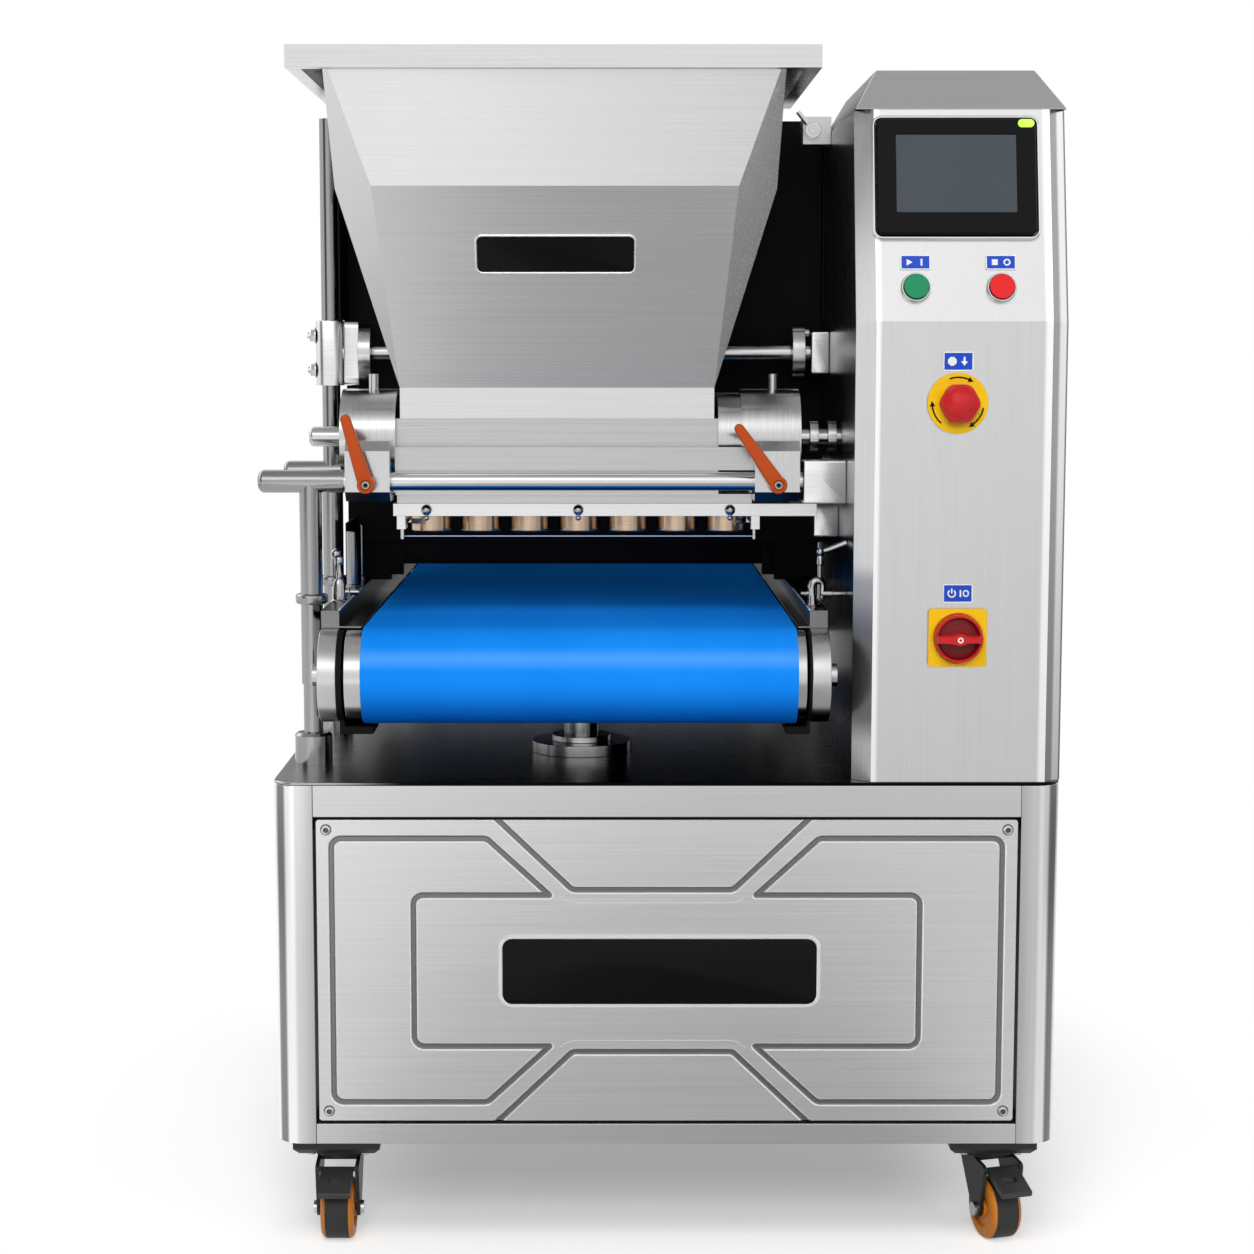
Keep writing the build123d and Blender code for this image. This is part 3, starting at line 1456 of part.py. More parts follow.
def make_hopper_switch():
    """Switch beside the hopper rim, on the console's left wall, with its lever arm."""
    y0 = front + switch_body_y
    body = block(
        switch_body_left, console_left, y0, y0 + switch_body_depth, switch_body_z,
        switch_body_z + switch_body_height,
    )
    axis_x = switch_body_left + cap_radius + cap_inset
    axis_z = switch_body_z + switch_body_height / 2
    body -= rod_y(arm_stub_radius + shaft_gap, y0 - overcut, y0 + arm_stub, axis_x, axis_z)
    save("hopper_switch", body)
    cap_back = y0 - running_gap
    cap = rod_y(cap_radius, cap_back - cap_length, cap_back, 0, 0)
    cap += rod_y(arm_stub_radius, cap_back - cap_length, y0 + arm_stub - arm_stub_gap, 0, 0)
    stick = Pos(0, cap_back - cap_length / 2, arm_length / 2) * Cylinder(arm_radius, arm_length)
    cap += Rot(0, -arm_angle, 0) * stick
    save("switch_arm", Pos(axis_x, 0, axis_z) * cap)


os.makedirs("parts", exist_ok=True)
make_base()
make_screws()
make_castors()
make_console()
make_conveyor()
make_head()
make_supports()
make_hopper()
make_badges()
make_hopper_switch()
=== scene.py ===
import bpy
import bmesh
import json
from math import atan2, cos, pi, radians, sin
from mathutils import Matrix, Vector


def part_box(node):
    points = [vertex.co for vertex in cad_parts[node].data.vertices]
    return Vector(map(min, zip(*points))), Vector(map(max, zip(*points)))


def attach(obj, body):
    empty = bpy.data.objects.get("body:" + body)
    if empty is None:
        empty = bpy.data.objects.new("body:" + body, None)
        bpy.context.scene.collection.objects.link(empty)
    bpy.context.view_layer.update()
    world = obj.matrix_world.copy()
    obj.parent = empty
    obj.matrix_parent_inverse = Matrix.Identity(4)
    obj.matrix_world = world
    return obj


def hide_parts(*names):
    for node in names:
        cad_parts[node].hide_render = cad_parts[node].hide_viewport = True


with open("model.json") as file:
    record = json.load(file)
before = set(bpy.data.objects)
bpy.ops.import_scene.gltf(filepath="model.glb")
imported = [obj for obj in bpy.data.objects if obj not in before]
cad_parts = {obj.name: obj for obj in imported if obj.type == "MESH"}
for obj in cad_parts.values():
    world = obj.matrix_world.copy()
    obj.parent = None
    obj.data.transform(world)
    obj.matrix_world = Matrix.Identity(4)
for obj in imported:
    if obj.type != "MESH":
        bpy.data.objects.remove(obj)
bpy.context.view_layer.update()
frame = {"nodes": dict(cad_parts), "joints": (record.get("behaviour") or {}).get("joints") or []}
nodes = frame["nodes"]
joint_of = {joint["child"]: joint for joint in frame["joints"]}
scene = bpy.context.scene
mm = 0.001

# Camera, from the photograph's perspective
image_size = 1254
focal_pixels = 2469
axis_pixel_x = 604
camera_place = (-63 * mm, -2886 * mm, 923 * mm)
camera_pitch = radians(6.4)


def node_box(name):
    """Lowest and highest corner of a node, in millimetres."""
    return [Vector(corner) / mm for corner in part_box(name)]


def pivot(name):
    """The point that a body's joint turns or slides about, in millimetres."""
    return Vector(joint_of[name]["pos_m"]) / mm


# Places, in millimetres, and names that several sections use
base_half = node_box("base_posts")[1]
corner_round = 26
cover_face = node_box("front_panel")[0].y
deck_top = node_box("deck_plate")[1].z
console_left, console_right = [corner.x for corner in node_box("console_body")]
console_chamfer = 18
fold_left = console_left + console_chamfer
fold_right = console_right - console_chamfer
belt_bottom, belt_top = [corner.z for corner in node_box("belt")]
guide_roof = belt_top + 16.5
guide_front = node_box("side_guides")[0].y
plate_left, plate_right = [corner.x for corner in node_box("conveyor_frame")]
plate_width = 18.5
castor_corners = ("front_left", "front_right", "rear_left", "rear_right")


# Shader tools

def operator(operation, swapped=False):
    """A method that joins a value to another, or to a number, by one math node."""
    def method(self, other=0.0):
        pair = (other, self) if swapped else (self, other)
        return self.graph.node("Math", dict(enumerate(pair)), {"operation": operation})
    return method


class Value:
    """A shader socket that takes part in plain sums."""

    def __init__(self, graph, socket):
        self.graph = graph
        self.socket = socket

    __add__ = operator("ADD")
    __radd__ = operator("ADD", True)
    __sub__ = operator("SUBTRACT")
    __rsub__ = operator("SUBTRACT", True)
    __mul__ = operator("MULTIPLY")
    __rmul__ = operator("MULTIPLY", True)
    __truediv__ = operator("DIVIDE")
    __abs__ = operator("ABSOLUTE")
    __lt__ = operator("LESS_THAN")
    __gt__ = operator("GREATER_THAN")
    least = operator("MINIMUM")


class Graph:
    """The node tree of one material or of the world."""

    def __init__(self, owner):
        owner.use_nodes = True
        self.tree = owner.node_tree
        self.tree.nodes.clear()

    def node(self, kind, inputs=None, settings=None, output=0):
        """One shader node: its settings first, then the values or links of its sockets."""
        made = self.tree.nodes.new("ShaderNode" + kind)
        for key, value in (settings or {}).items():
            setattr(made, key, value)
        for key, value in (inputs or {}).items():
            if isinstance(value, Value):
                self.tree.links.new(value.socket, made.inputs[key])
            else:
                made.inputs[key].default_value = value
        return Value(self, made.outputs[output]) if made.outputs else None

    def place(self):
        """Where a point lies on the object, in metres."""
        return self.node("TexCoord", output="Object")

    def split(self, vector):
        """The three numbers of a vector."""
        made = self.node("SeparateXYZ", {0: vector}).socket.node
        return [Value(self, made.outputs[index]) for index in range(3)]

    def vector(self, operation, *parts):
        """A sum of vectors; a length or a dot product comes out as a number."""
        output = "Vector" if operation == "SUBTRACT" else "Value"
        return self.node("VectorMath", dict(enumerate(parts)), {"operation": operation}, output)

    def rays(self):
        """Whether a light path is the camera's, also through glass, and whether it is mirrored."""
        made = self.node("LightPath").socket.node
        kinds = ("Camera", "Transmission", "Glossy")
        camera, through, glossy = [Value(self, made.outputs["Is " + kind + " Ray"]) for kind in kinds]
        return camera + through, glossy

    def noise(self, waves, detail):
        """Noise from 0 to 1, with so many waves to a metre, on all axes or on each."""
        scale = waves if isinstance(waves, tuple) else (waves, waves, waves)
        scaled = self.node("Mapping", {"Vector": self.place(), "Scale": scale})
        return self.node("TexNoise", {"Vector": scaled, "Scale": 1.0, "Detail": detail})

    def smooth(self, value, low, high, to_low=0.0, to_high=1.0):
        """A value eased from one range to another."""
        limits = {0: value, 1: low, 2: high, 3: to_low, 4: to_high}
        return self.node("MapRange", limits, {"interpolation_type": "SMOOTHSTEP"})

    def window(self, value, start, full, last, end):
        """1 where a value is between full and last, easing to 0 at start and at end."""
        return self.smooth(value, start, full) * (1 - self.smooth(value, last, end))

    def mix(self, share, first, second):
        """A colour between two colours."""
        return self.node("Mix", {0: share, 6: first, 7: second}, {"data_type": "RGBA"}, 2)

    def bump(self, height, strength, depth=0.4):
        """Bumps of a depth in millimetres."""
        return self.node("Bump", {"Height": height, "Strength": strength, "Distance": depth * mm})

    def surface(self, sockets):
        """The finished surface, with the sockets given."""
        self.node("OutputMaterial", {"Surface": self.node("BsdfPrincipled", sockets)})

    def metal(self, tone, rough, lines, strength, metal=1.0, depth=0.4):
        """The finished metal, with brush lines or turning marks as bumps."""
        bump = self.bump(lines, strength, depth)
        self.surface({"Base Color": tone, "Metallic": metal, "Roughness": rough, "Normal": bump})


def colour(*levels):
    """Red, green and blue as they show on a screen, from 0 to 255, turned into light."""
    shares = [level / 255 for level in levels]
    parts = [share / 12.92 if share <= 0.04045 else ((share + 0.055) / 1.055) ** 2.4 for share in shares]
    return (*parts, 1.0)


def grey(level):
    return colour(level, level, level)


def light(level):
    """Grey light of a strength."""
    return (level, level, level, 1)


def new_finish(name, paint, *values):
    """A material, painted by a function that takes its empty graph and other values."""
    material = bpy.data.materials.new(name)
    paint(Graph(material), *values)
    return material


# Finishes

def brushed_steel(graph, grain, level=205, rough=0.30, metal=1.0):
    """Satin stainless steel, brushed along the axis with the fewest waves in its grain."""
    lines = graph.noise(grain, 4)
    patches = graph.noise(5, 2)
    tone = graph.mix(lines, grey(level - 16), grey(level + 14))
    tone = graph.mix(0.4 * patches, tone, grey(level - 8))
    graph.metal(tone, rough - 0.07 + 0.10 * lines + 0.04 * patches, lines, 0.10, metal)


def polished_steel(graph, grain, level, rough):
    """Ground and polished bar, with faint turning marks."""
    lines = graph.noise(grain, 3)
    tone = graph.mix(lines, grey(level - 12), grey(level + 10))
    graph.metal(tone, rough - 0.03 + 0.07 * lines, lines, 0.05, depth=0.3)


def along_axis(axis):
    """A measure in millimetres along X, Y or Z."""
    return lambda graph: graph.split(graph.place())[axis] / mm


def corner_turn(graph):
    """How far round the base's corner a point lies: below 0 on the flats, 0.7 in the middle."""
    across = 1 - (base_half.x - abs(along_axis(0)(graph))) / corner_round
    along = 1 - (base_half.y - abs(along_axis(1)(graph))) / corner_round
    return across.least(along)


def painted_shade_steel(graph, grain, measure, dark, bright):
    """Steel with painted shade, between a dark and a bright tone; each is a place, by the measure, and a
    level.
    """
    lines = graph.noise(grain, 4)
    low = graph.mix(lines, grey(dark[1] - 6), grey(dark[1] + 6))
    high = graph.mix(lines, grey(bright[1] - 14), grey(bright[1] + 14))
    tone = graph.mix(graph.smooth(measure(graph), dark[0], bright[0]), low, high)
    graph.metal(tone, 0.22 + 0.08 * lines, lines, 0.04)


def painted_light_steel(graph, grain, measure, stops, rough=0.26, metal=1.0):
    """Brushed steel with painted light and shade: its tone passes through stops of place, by the measure,
    and level.
    """
    lines = graph.noise(grain, 4)
    place = measure(graph)
    tone = grey(stops[0][1])
    for (start, _), (end, level) in zip(stops, stops[1:]):
        tone = graph.mix(graph.smooth(place, start, end), tone, grey(level))
    tone = graph.mix(0.14 * lines, tone, grey(0))
    graph.metal(tone, rough - 0.05 + 0.08 * lines, lines, 0.08, metal)


def moulded(graph, tint, rough=0.35, pores=900.0, depth=0.06, gloss=0.35, shade=0.86):
    """Moulded plastic or paint: fine pores and a slight change of tone."""
    fine = graph.noise(pores, 2)
    deep = tuple(part * shade for part in tint[:3]) + (1.0,)
    graph.surface({
        "Base Color": graph.mix(graph.noise(14, 2), deep, tint),
        "Roughness": rough - 0.05 + 0.10 * fine,
        "Normal": graph.bump(fine, depth, 0.3),
        "Specular IOR Level": gloss,
    })


def belt_cloth(graph):
    """Blue food belt: a fine matt weave, with painted shade low on the rollers and a painted highlight
    above.
    """
    weave = 0.5 * graph.noise((1400, 160, 160), 2) + 0.5 * graph.noise((160, 1400, 1400), 2)
    worn = graph.noise((9, 3, 3), 3)
    tone = graph.mix(worn, colour(14, 128, 238), colour(30, 146, 250))
    height = (along_axis(2)(graph) - belt_bottom) / ((belt_top - belt_bottom) / 2) - 1
    # Painted shade: darker low on the rollers
    lit = graph.mix(graph.smooth(height, -1.0, 0.0), colour(6, 100, 204), tone)
    # Painted highlight: a lighter band above the rollers' middle
    painted_gleam = graph.window(height, 0.16, 0.44, 0.44, 0.70)
    graph.surface({
        "Base Color": graph.mix(0.36 * painted_gleam, lit, colour(110, 186, 255)),
        "Roughness": 0.40 + 0.14 * weave,
        "Normal": graph.bump(weave, 0.16),
        "Specular IOR Level": 0.0,
    })


def turned_bronze(graph):
    """Turned bronze with fine rings."""
    rings = graph.noise((20, 20, 1800), 2)
    tone = graph.mix(rings, colour(170, 145, 122), colour(204, 182, 160))
    graph.metal(tone, 0.14 + 0.08 * rings, rings, 0.08, depth=0.3)


def lit_lens(graph):
    """The lit status lamp."""
    glow = graph.noise(160, 1)
    graph.surface({
        "Base Color": colour(150, 230, 20),
        "Emission Color": graph.mix(glow, colour(120, 220, 10), colour(230, 255, 140)),
        "Emission Strength": 0.9,
        "Roughness": 0.25,
    })


def wheel_tyre(graph, centre, axle):
    """Amber wheel with a black tread, by the distance along the axle."""
    tread_half = 12.2 * mm
    tread_radius = 26 * mm
    offset = graph.vector("SUBTRACT", graph.place(), centre)
    aside = abs(graph.vector("DOT_PRODUCT", offset, axle))
    tread = (aside < tread_half) * (graph.vector("LENGTH", offset) > tread_radius)
    fine = graph.noise(700, 2)
    amber = graph.mix(fine, colour(196, 112, 14), colour(220, 134, 24))
    black = graph.mix(fine, grey(26), grey(48))
    graph.surface({
        "Base Color": graph.mix(tread, amber, black),
        "Roughness": 0.34 + 0.22 * tread + 0.08 * fine,
        "Normal": graph.bump(fine, 0.10, 0.3),
    })


def bands(origin, *stops):
    """Stops of place and level, with the places counted from an origin."""
    return [(origin + offset, level) for offset, level in stops]


# Painted highlights, painted reflections and painted shade on the folds, the corners and what lies in
# shadow, as places and levels
plain = 212
painted_gleam = 255
painted_post_reflections = [(-0.6, 190), (0.05, 214), (0.25, 252), (0.46, 252), (0.60, 140)]
painted_fold_highlights = bands(fold_left, (-1, plain), (0.5, painted_gleam), (3, painted_gleam), (7, plain))
painted_fold_highlights += bands(fold_right, (-9, plain), (-5, painted_gleam), (0, painted_gleam), (1, plain))
painted_left_fold_light = bands(deck_top, (-6, 200), (32, 195), (67, 112), (147, 112), (197, 160), (222, plain))
painted_right_fold_light = bands(fold_right, (0, 158), (6, 158), (10, 232), (15, 232), (17, 120))
painted_trough_shade = bands(guide_front, (-35, 56), (105, 10), (345, 10), (385, 120))
painted_bead_light = bands(cover_face, (0.7, 250), (1.3, 126))
painted_deck_reflection = bands(plate_left, (89, 12), (-1, 170))
painted_wall_shade = bands(deck_top, (197, 14), (307, 165))

# Brush lines along each axis, in waves to a metre
grain_x = (5, 900, 900)
grain_y = (900, 5, 900)
grain_z = (900, 900, 5)
grain_hopper = (4, 800, 800)

# Finishes by their functions: a name, the nodes that have it, and the function's other values
finish_rows = {
    brushed_steel: [
        ("steel_brushed_across", "base_rails base_rear_panel console_cap hopper_switch", grain_x),
        ("steel_brushed_upright", "console_rear_cover", grain_z, 212, 0.32),
        ("steel_brushed_along", "base_side_panels conveyor_frame conveyor_bed", grain_y, 200, 0.28),
        ("steel_turned", "lift_jacks end_housing_left end_housing_right front_roller rear_roller "
         "feed_roller_front feed_roller_rear crank_shaft", (900, 40, 40), 196, 0.20),
        ("steel_hopper", "hopper", grain_hopper, 208, 0.26),
        # Painted light: the hopper's right side is half diffuse and lighter than its reflections give
        ("steel_hopper_side", "", grain_hopper, 222, 0.26, 0.5),
        ("steel_bracket", "bearing_brackets", grain_x, 218, 0.24),
        ("steel_cover", "front_panel", grain_x, 217, 0.30),
        # Painted shade on undersides, in socket wells and in rings round screw heads
        ("steel_underside", "", grain_x, 92, 0.30),
        # Painted shade in the floors of the front panel's beads
        ("steel_bead_floor", "", grain_x, 126, 0.26),
        # Painted highlight: bright, half diffuse edges, on the badges' real rims and on the guides' lips
        ("steel_bead_edge", "", grain_x, 236, 0.24, 0.55),
        ("steel_body", "pump_body", grain_x, 184, 0.24),
        ("steel_bright", "nozzle_bar", grain_x, 216, 0.26),
        ("steel_guide", "side_guides", grain_y, 120, 0.18),
    ],
    painted_light_steel: [
        # Painted highlights: white bands along the console's front folds
        ("steel_console", "console_body", grain_z, along_axis(0), painted_fold_highlights, 0.32),
        # Painted light and shade down the console's left fold
        ("steel_left_fold", "", grain_z, along_axis(2), painted_left_fold_light),
        # Painted reflections: bright and dark bands across the console's right fold
        ("steel_right_fold", "", grain_z, along_axis(0), painted_right_fold_light),
        # Painted reflections: bright and dark bands round the base's corner posts
        ("steel_corner", "base_posts", grain_z, corner_turn, painted_post_reflections, 0.22),
        # Painted highlight near the front panel's face and painted shade deeper in the beads
        ("steel_bead_wall", "", grain_x, along_axis(1), painted_bead_light, 0.26, 0.5),
        # Painted shade on the guides' tops under the head
        ("steel_trough", "", grain_y, along_axis(1), painted_trough_shade),
    ],
    painted_shade_steel: [
        # Painted reflection: the deck dark, lighter near its left edge
        ("steel_deck", "deck_plate", grain_x, along_axis(0), *painted_deck_reflection),
        # Painted shade: the console's inner wall dark low down
        ("steel_inner_wall", "", grain_z, along_axis(2), *painted_wall_shade),
    ],
    polished_steel: [
        ("steel_rail", "cross_rails", (8, 900, 900), 206, 0.20),
        ("steel_post", "lift_rams guide_posts", (900, 900, 8), 152, 0.15),
        ("steel_chrome", "", 300, 168, 0.09),
        ("steel_screw", "screws button_bezels wire_cutter switch_arm", 600, 205, 0.20),
    ],
    turned_bronze: [("nozzle_bronze", "nozzles")],
    belt_cloth: [("belt_blue", "belt")],
    lit_lens: [("lamp_green", "status_lamp")],
    moulded: [
        ("lever_orange", "clamp_lever_left clamp_lever_right", colour(184, 72, 16), 0.34, 900, 0.06, 0.30),
        ("black_gloss", "badge_plates screen_bezel", grey(10), 0.20, 300, 0.02, 0.10),
        # Real black paint on the shield, seals and printed arrows, and painted shade on screens, sockets
        # and the conveyor plates' insides
        ("black_paint", "rear_shield", grey(12), 0.55, 1200, 0.10, 0.12),
        ("castor_grey", "castor_pads feed_motor castor_brake_front_left castor_brake_front_right",
         grey(60), 0.42, 1100, 0.12),
        ("castor_black", "", grey(38), 0.40, 1100, 0.12),
        ("display_grey", "screen_glass", colour(72, 78, 83), 0.24, 200, 0.01, 0.10, 0.90),
        ("start_green", "start_button", colour(0, 132, 84), 0.30),
        ("stop_red", "stop_button", colour(222, 24, 28), 0.30),
        ("knob_red", "estop_stem estop_head switch_knob", colour(200, 30, 34), 0.34),
        ("knob_dark", "", colour(118, 12, 18), 0.40),
        ("control_yellow", "control_backplates", colour(246, 196, 10), 0.34),
        ("label_blue", "label_plates", colour(20, 70, 190), 0.30),
        ("label_white", "", grey(238), 0.40),
    ],
}
finishes = {}
first_finish = {}
for paint, rows in finish_rows.items():
    for name, group, *values in rows:
        finishes[name] = new_finish(name, paint, *values)
        first_finish.update((node, finishes[name]) for node in group.split())
for corner in castor_corners:
    wheel = "castor_wheel_" + corner
    joint = joint_of[wheel]
    first_finish[wheel] = new_finish("tyre_" + corner, wheel_tyre, joint["pos_m"], joint["axis"])
    first_finish["castor_fork_" + corner] = finishes["castor_black"]

# Soft edges: each node's flat faces are joined, and its corners take a narrow round
edge_rounds = {
    "hopper": 1.2, "front_panel": 1.0, "console_body": 1.6, "console_cap": 1.6, "base_rails": 0.8,
    "base_posts": 0.8, "deck_plate": 1.2, "pump_body": 0.8, "conveyor_frame": 1.6, "belt": 0.6,
    "clamp_lever_left": 0.6, "clamp_lever_right": 0.6,
}
plain_round = 0.5
fold_angles = {"hopper": 5, "console_body": 8, "console_cap": 8}
plain_angle = 24
flat_angle = 0.5
sharp_angle = 32
weld_reach = 0.002 * mm
louvred_sheets = ("base_rear_panel", "console_rear_cover")


def soften(node, width, angle):
    """Round a node's edges by modifiers; the node's own mesh stays as it is."""
    weld = node.modifiers.new("join_faces", "WELD")
    weld.merge_threshold = weld_reach
    flat = node.modifiers.new("flat_faces", "DECIMATE")
    flat.decimate_type = "DISSOLVE"
    flat.angle_limit = radians(flat_angle)
    bevel = node.modifiers.new("edge_round", "BEVEL")
    bevel.width = width * mm
    bevel.segments = 2
    bevel.limit_method = "ANGLE"
    bevel.angle_limit = radians(angle)
    bevel.miter_outer = "MITER_ARC"
    normals = node.modifiers.new("face_normals", "WEIGHTED_NORMAL")
    normals.weight = 80


for name, node in nodes.items():
    node.data.materials.clear()
    node.data.materials.append(first_finish[name])
    if name not in louvred_sheets:
        soften(node, edge_rounds.get(name, plain_round), fold_angles.get(name, plain_angle))


# Second finishes: a test of a face's centre, in millimetres, and normal picks the faces

def second_finish(name, finish, chosen):
    """Another finish on the chosen faces of a node; gives the number of its slot."""
    mesh = nodes[name].data
    mesh.materials.append(finishes[finish])
    slot = len(mesh.materials) - 1
    for face in mesh.polygons:
        if chosen(Vector(face.center) / mm, face.normal):
            face.material_index = slot
    return slot


# Least part of a normal along an axis on a square and a slanting face, and a hair's breadth
square_on = 0.9
slanting = 0.3
hair = 0.1


def is_seal(spot, out):
    """The flange faces behind the covers' edges, which carry a black seal."""
    nearest, deepest = 2, 30
    for axis in (0, 1):
        inset = base_half[axis] - abs(spot[axis])
        if abs(out[axis]) > square_on and out[axis] * spot[axis] > 0 and nearest < inset < deepest:
            return True
    return False


def is_flank(spot, out):
    """The flanks of a post that face the covers' edges."""
    return any(abs(out[axis]) > square_on and out[axis] * spot[axis] < 0 for axis in (0, 1))


def is_inner_wall(spot, out):
    """The console's wall beside the head, which takes painted shade low down."""
    return out.x < -square_on and spot.x < console_left + 5 * hair


# The beads' floors, which take painted shade
def is_bead_floor(spot, out):
    upper, lower = 1.5, 2.6
    return out.y < -0.98 and upper < spot.y - cover_face < lower


# The beads' walls, which take a painted highlight near the face and painted shade deeper in
def is_bead_wall(spot, out):
    wall_depth = 2.3
    return -0.95 < out.y < -slanting and spot.y - cover_face < wall_depth


def is_painted_shade_screen(spot, out):
    """The screens that stand on the guides, and the one beside the right guide; their black is painted
    shade.
    """
    return spot.z > guide_roof + hair or spot.x > plate_right + hair


def is_bearing_room(spot, out):
    """The inside of the conveyor's plates, past both ends of the bed, whose black is painted shade."""
    bed_middle = pivot("front_roller").y + 580
    bed_half = 400
    within = plate_width + 2 * hair
    return plate_left + within < spot.x < plate_right - within and abs(spot.y - bed_middle) >= bed_half


second_finish("console_body", "steel_inner_wall", is_inner_wall)
# The hopper's right side takes painted light
second_finish("hopper", "steel_hopper_side", lambda spot, out: out.x > 0.5)
second_finish("base_rails", "black_paint", is_seal)
second_finish("base_posts", "black_paint", lambda spot, out: is_seal(spot, out) or is_flank(spot, out))
# The console's left fold takes painted light and shade
second_finish("console_body", "steel_left_fold", lambda spot, out: max(out.x, out.y) < -slanting)
# The console's right fold takes painted reflections
second_finish("console_body", "steel_right_fold", lambda spot, out: max(-out.x, out.y) < -slanting)
# Painted shade on the undersides of the head's parts and the rails
for name in ("pump_body", "end_housing_left", "end_housing_right", "cross_rails"):
    second_finish(name, "steel_underside", lambda spot, out: out.z < -0.6)
second_finish("front_panel", "steel_bead_floor", is_bead_floor)
bead_slot = second_finish("front_panel", "steel_bead_wall", is_bead_wall)
# The panel's rounded edges take the same painted highlight and painted shade as the beads' walls
nodes["front_panel"].modifiers["edge_round"].material = bead_slot
# The guides' tops take painted shade under the head
second_finish("side_guides", "steel_trough", lambda spot, out: out.z > 0.7)
# The guides' screens take black as painted shade
second_finish("side_guides", "black_paint", is_painted_shade_screen)
# Painted shade: black inside the conveyor's plates past the bed
second_finish("conveyor_frame", "black_paint", is_bearing_room)


# Mesh tools: sizes here are in millimetres and turn into metres at each vertex

def shift(x, y, z):
    return Matrix.Translation((x, y, z))


def on_face(centre, out):
    """A place on a face: X to the right, Y up and Z along the face's normal."""
    out = Vector(out).normalized()
    right = Vector((1, 0, 0)) if abs(out.x) < square_on else Vector((0, -out.x, 0)).normalized()
    turn = Matrix((right, out.cross(right), out)).transposed().to_4x4()
    return Matrix.Translation(centre) @ turn


def islands(name):
    """The box of each separate solid of a node, in millimetres, from left to right."""
    shape = bmesh.new()
    shape.from_mesh(nodes[name].data)
    bmesh.ops.remove_doubles(shape, verts=shape.verts, dist=weld_reach)
    left = set(shape.verts)
    boxes = []
    while left:
        group = [left.pop()]
        for vert in group:
            for edge in vert.link_edges:
                other = edge.other_vert(vert)
                if other in left:
                    left.remove(other)
                    group.append(other)
        spots = [vert.co / mm for vert in group]
        boxes.append([Vector([pick(numbers) for numbers in zip(*spots)]) for pick in (min, max)])
    shape.free()
    return sorted(boxes, key=lambda box: [round(box[0][axis], 1) for axis in (0, 2, 1)])


def ring(shape, place, points, height):
    """A ring of vertices from flat points at one height."""
    return [shape.verts.new((place @ Vector((x, y, height))) * mm) for x, y in points]


def skin(shape, rings, closed=False):
    """Faces between rings of equal length, as a closed band or with both ends capped."""
    pairs = list(zip(rings, rings[1:]))
    if closed:
        pairs.append((rings[-1], rings[0]))
    for low, high in pairs:
        count = len(low)
        for index in range(count):
            after = (index + 1) % count
            shape.faces.new((low[index], low[after], high[after], high[index]))
    if not closed:
        shape.faces.new(list(reversed(rings[0])))
        shape.faces.new(rings[-1])


def polar(radius, degrees):
    """A point at a distance and an angle."""
    return (radius * cos(radians(degrees)), radius * sin(radians(degrees)))


def circle(radius, steps=40, lobes=0, depth=0):
    """Points of a circle, or of one with even lobes."""
    angles = [2 * pi * index / steps for index in range(steps)]
    reaches = [radius - depth * (0.5 - 0.5 * cos(lobes * angle)) for angle in angles]
    return [(reach * cos(angle), reach * sin(angle)) for reach, angle in zip(reaches, angles)]


def rounded(width, height, radius, steps=6):
    """Points of a rectangle with round corners."""
    points = []
    for quarter, (sx, sy) in enumerate(((1, 1), (-1, 1), (-1, -1), (1, -1))):
        for step in range(steps + 1):
            x, y = polar(radius, 90 * (quarter + step / steps))
            points.append((sx * (width / 2 - radius) + x, sy * (height / 2 - radius) + y))
    return points


def turned(shape, place, profile, steps=40, lobes=0, depth=0, closed=False):
    """A form turned about a place's Z axis, or a ring, from (radius, height) points."""
    rings = [ring(shape, place, circle(radius, steps, lobes, depth), height) for radius, height in profile]
    skin(shape, rings, closed)


def stacked(shape, place, size, radius, levels, closed=False):
    """Rounded rectangles, from pairs of inset and height, joined to a plate or a frame."""
    least_radius = 0.3 if closed else 0.05
    rings = []
    for inset, level in levels:
        points = rounded(size[0] - 2 * inset, size[1] - 2 * inset, max(radius - inset, least_radius))
        rings.append(ring(shape, place, points, level))
    skin(shape, rings, closed)


def tile(shape, place, width, height, radius, low, high, edge):
    """A plate with round corners and a small round along its top edge."""
    levels = [(0, low), (0, high - edge), (edge * 0.3, high - edge * 0.3), (edge, high)]
    stacked(shape, place, (width, height), radius, levels)


def rim(shape, place, width, height, radius, border, low, high, edge):
    """A frame round a plate: its outside, its rounded top and its inside."""
    levels = [
        (0, low), (0, high - edge), (edge, high),
        (border - edge, high), (border, high - edge), (border, low),
    ]
    stacked(shape, place, (width, height), radius, levels, closed=True)


def prism(shape, place, points, low, high):
    """A flat sign of even thickness."""
    skin(shape, [ring(shape, place, points, low), ring(shape, place, points, high)])


def arc_sign(shape, place, radius, border, start, end, low, high, steps=24):
    """A curved stroke of even width."""
    angles = [start + (end - start) * step / steps for step in range(steps + 1)]
    outer = [polar(radius + border / 2, angle) for angle in angles]
    inner = [polar(radius - border / 2, angle) for angle in reversed(angles)]
    prism(shape, place, outer + inner, low, high)


def sheet(shape, left, right, front, back, low, high):
    """An upright sheet between two places along each axis."""
    place = on_face(((left + right) / 2, back, (low + high) / 2), to_front)
    tile(shape, place, right - left, high - low, 0.6, 0, back - front, 0.3)


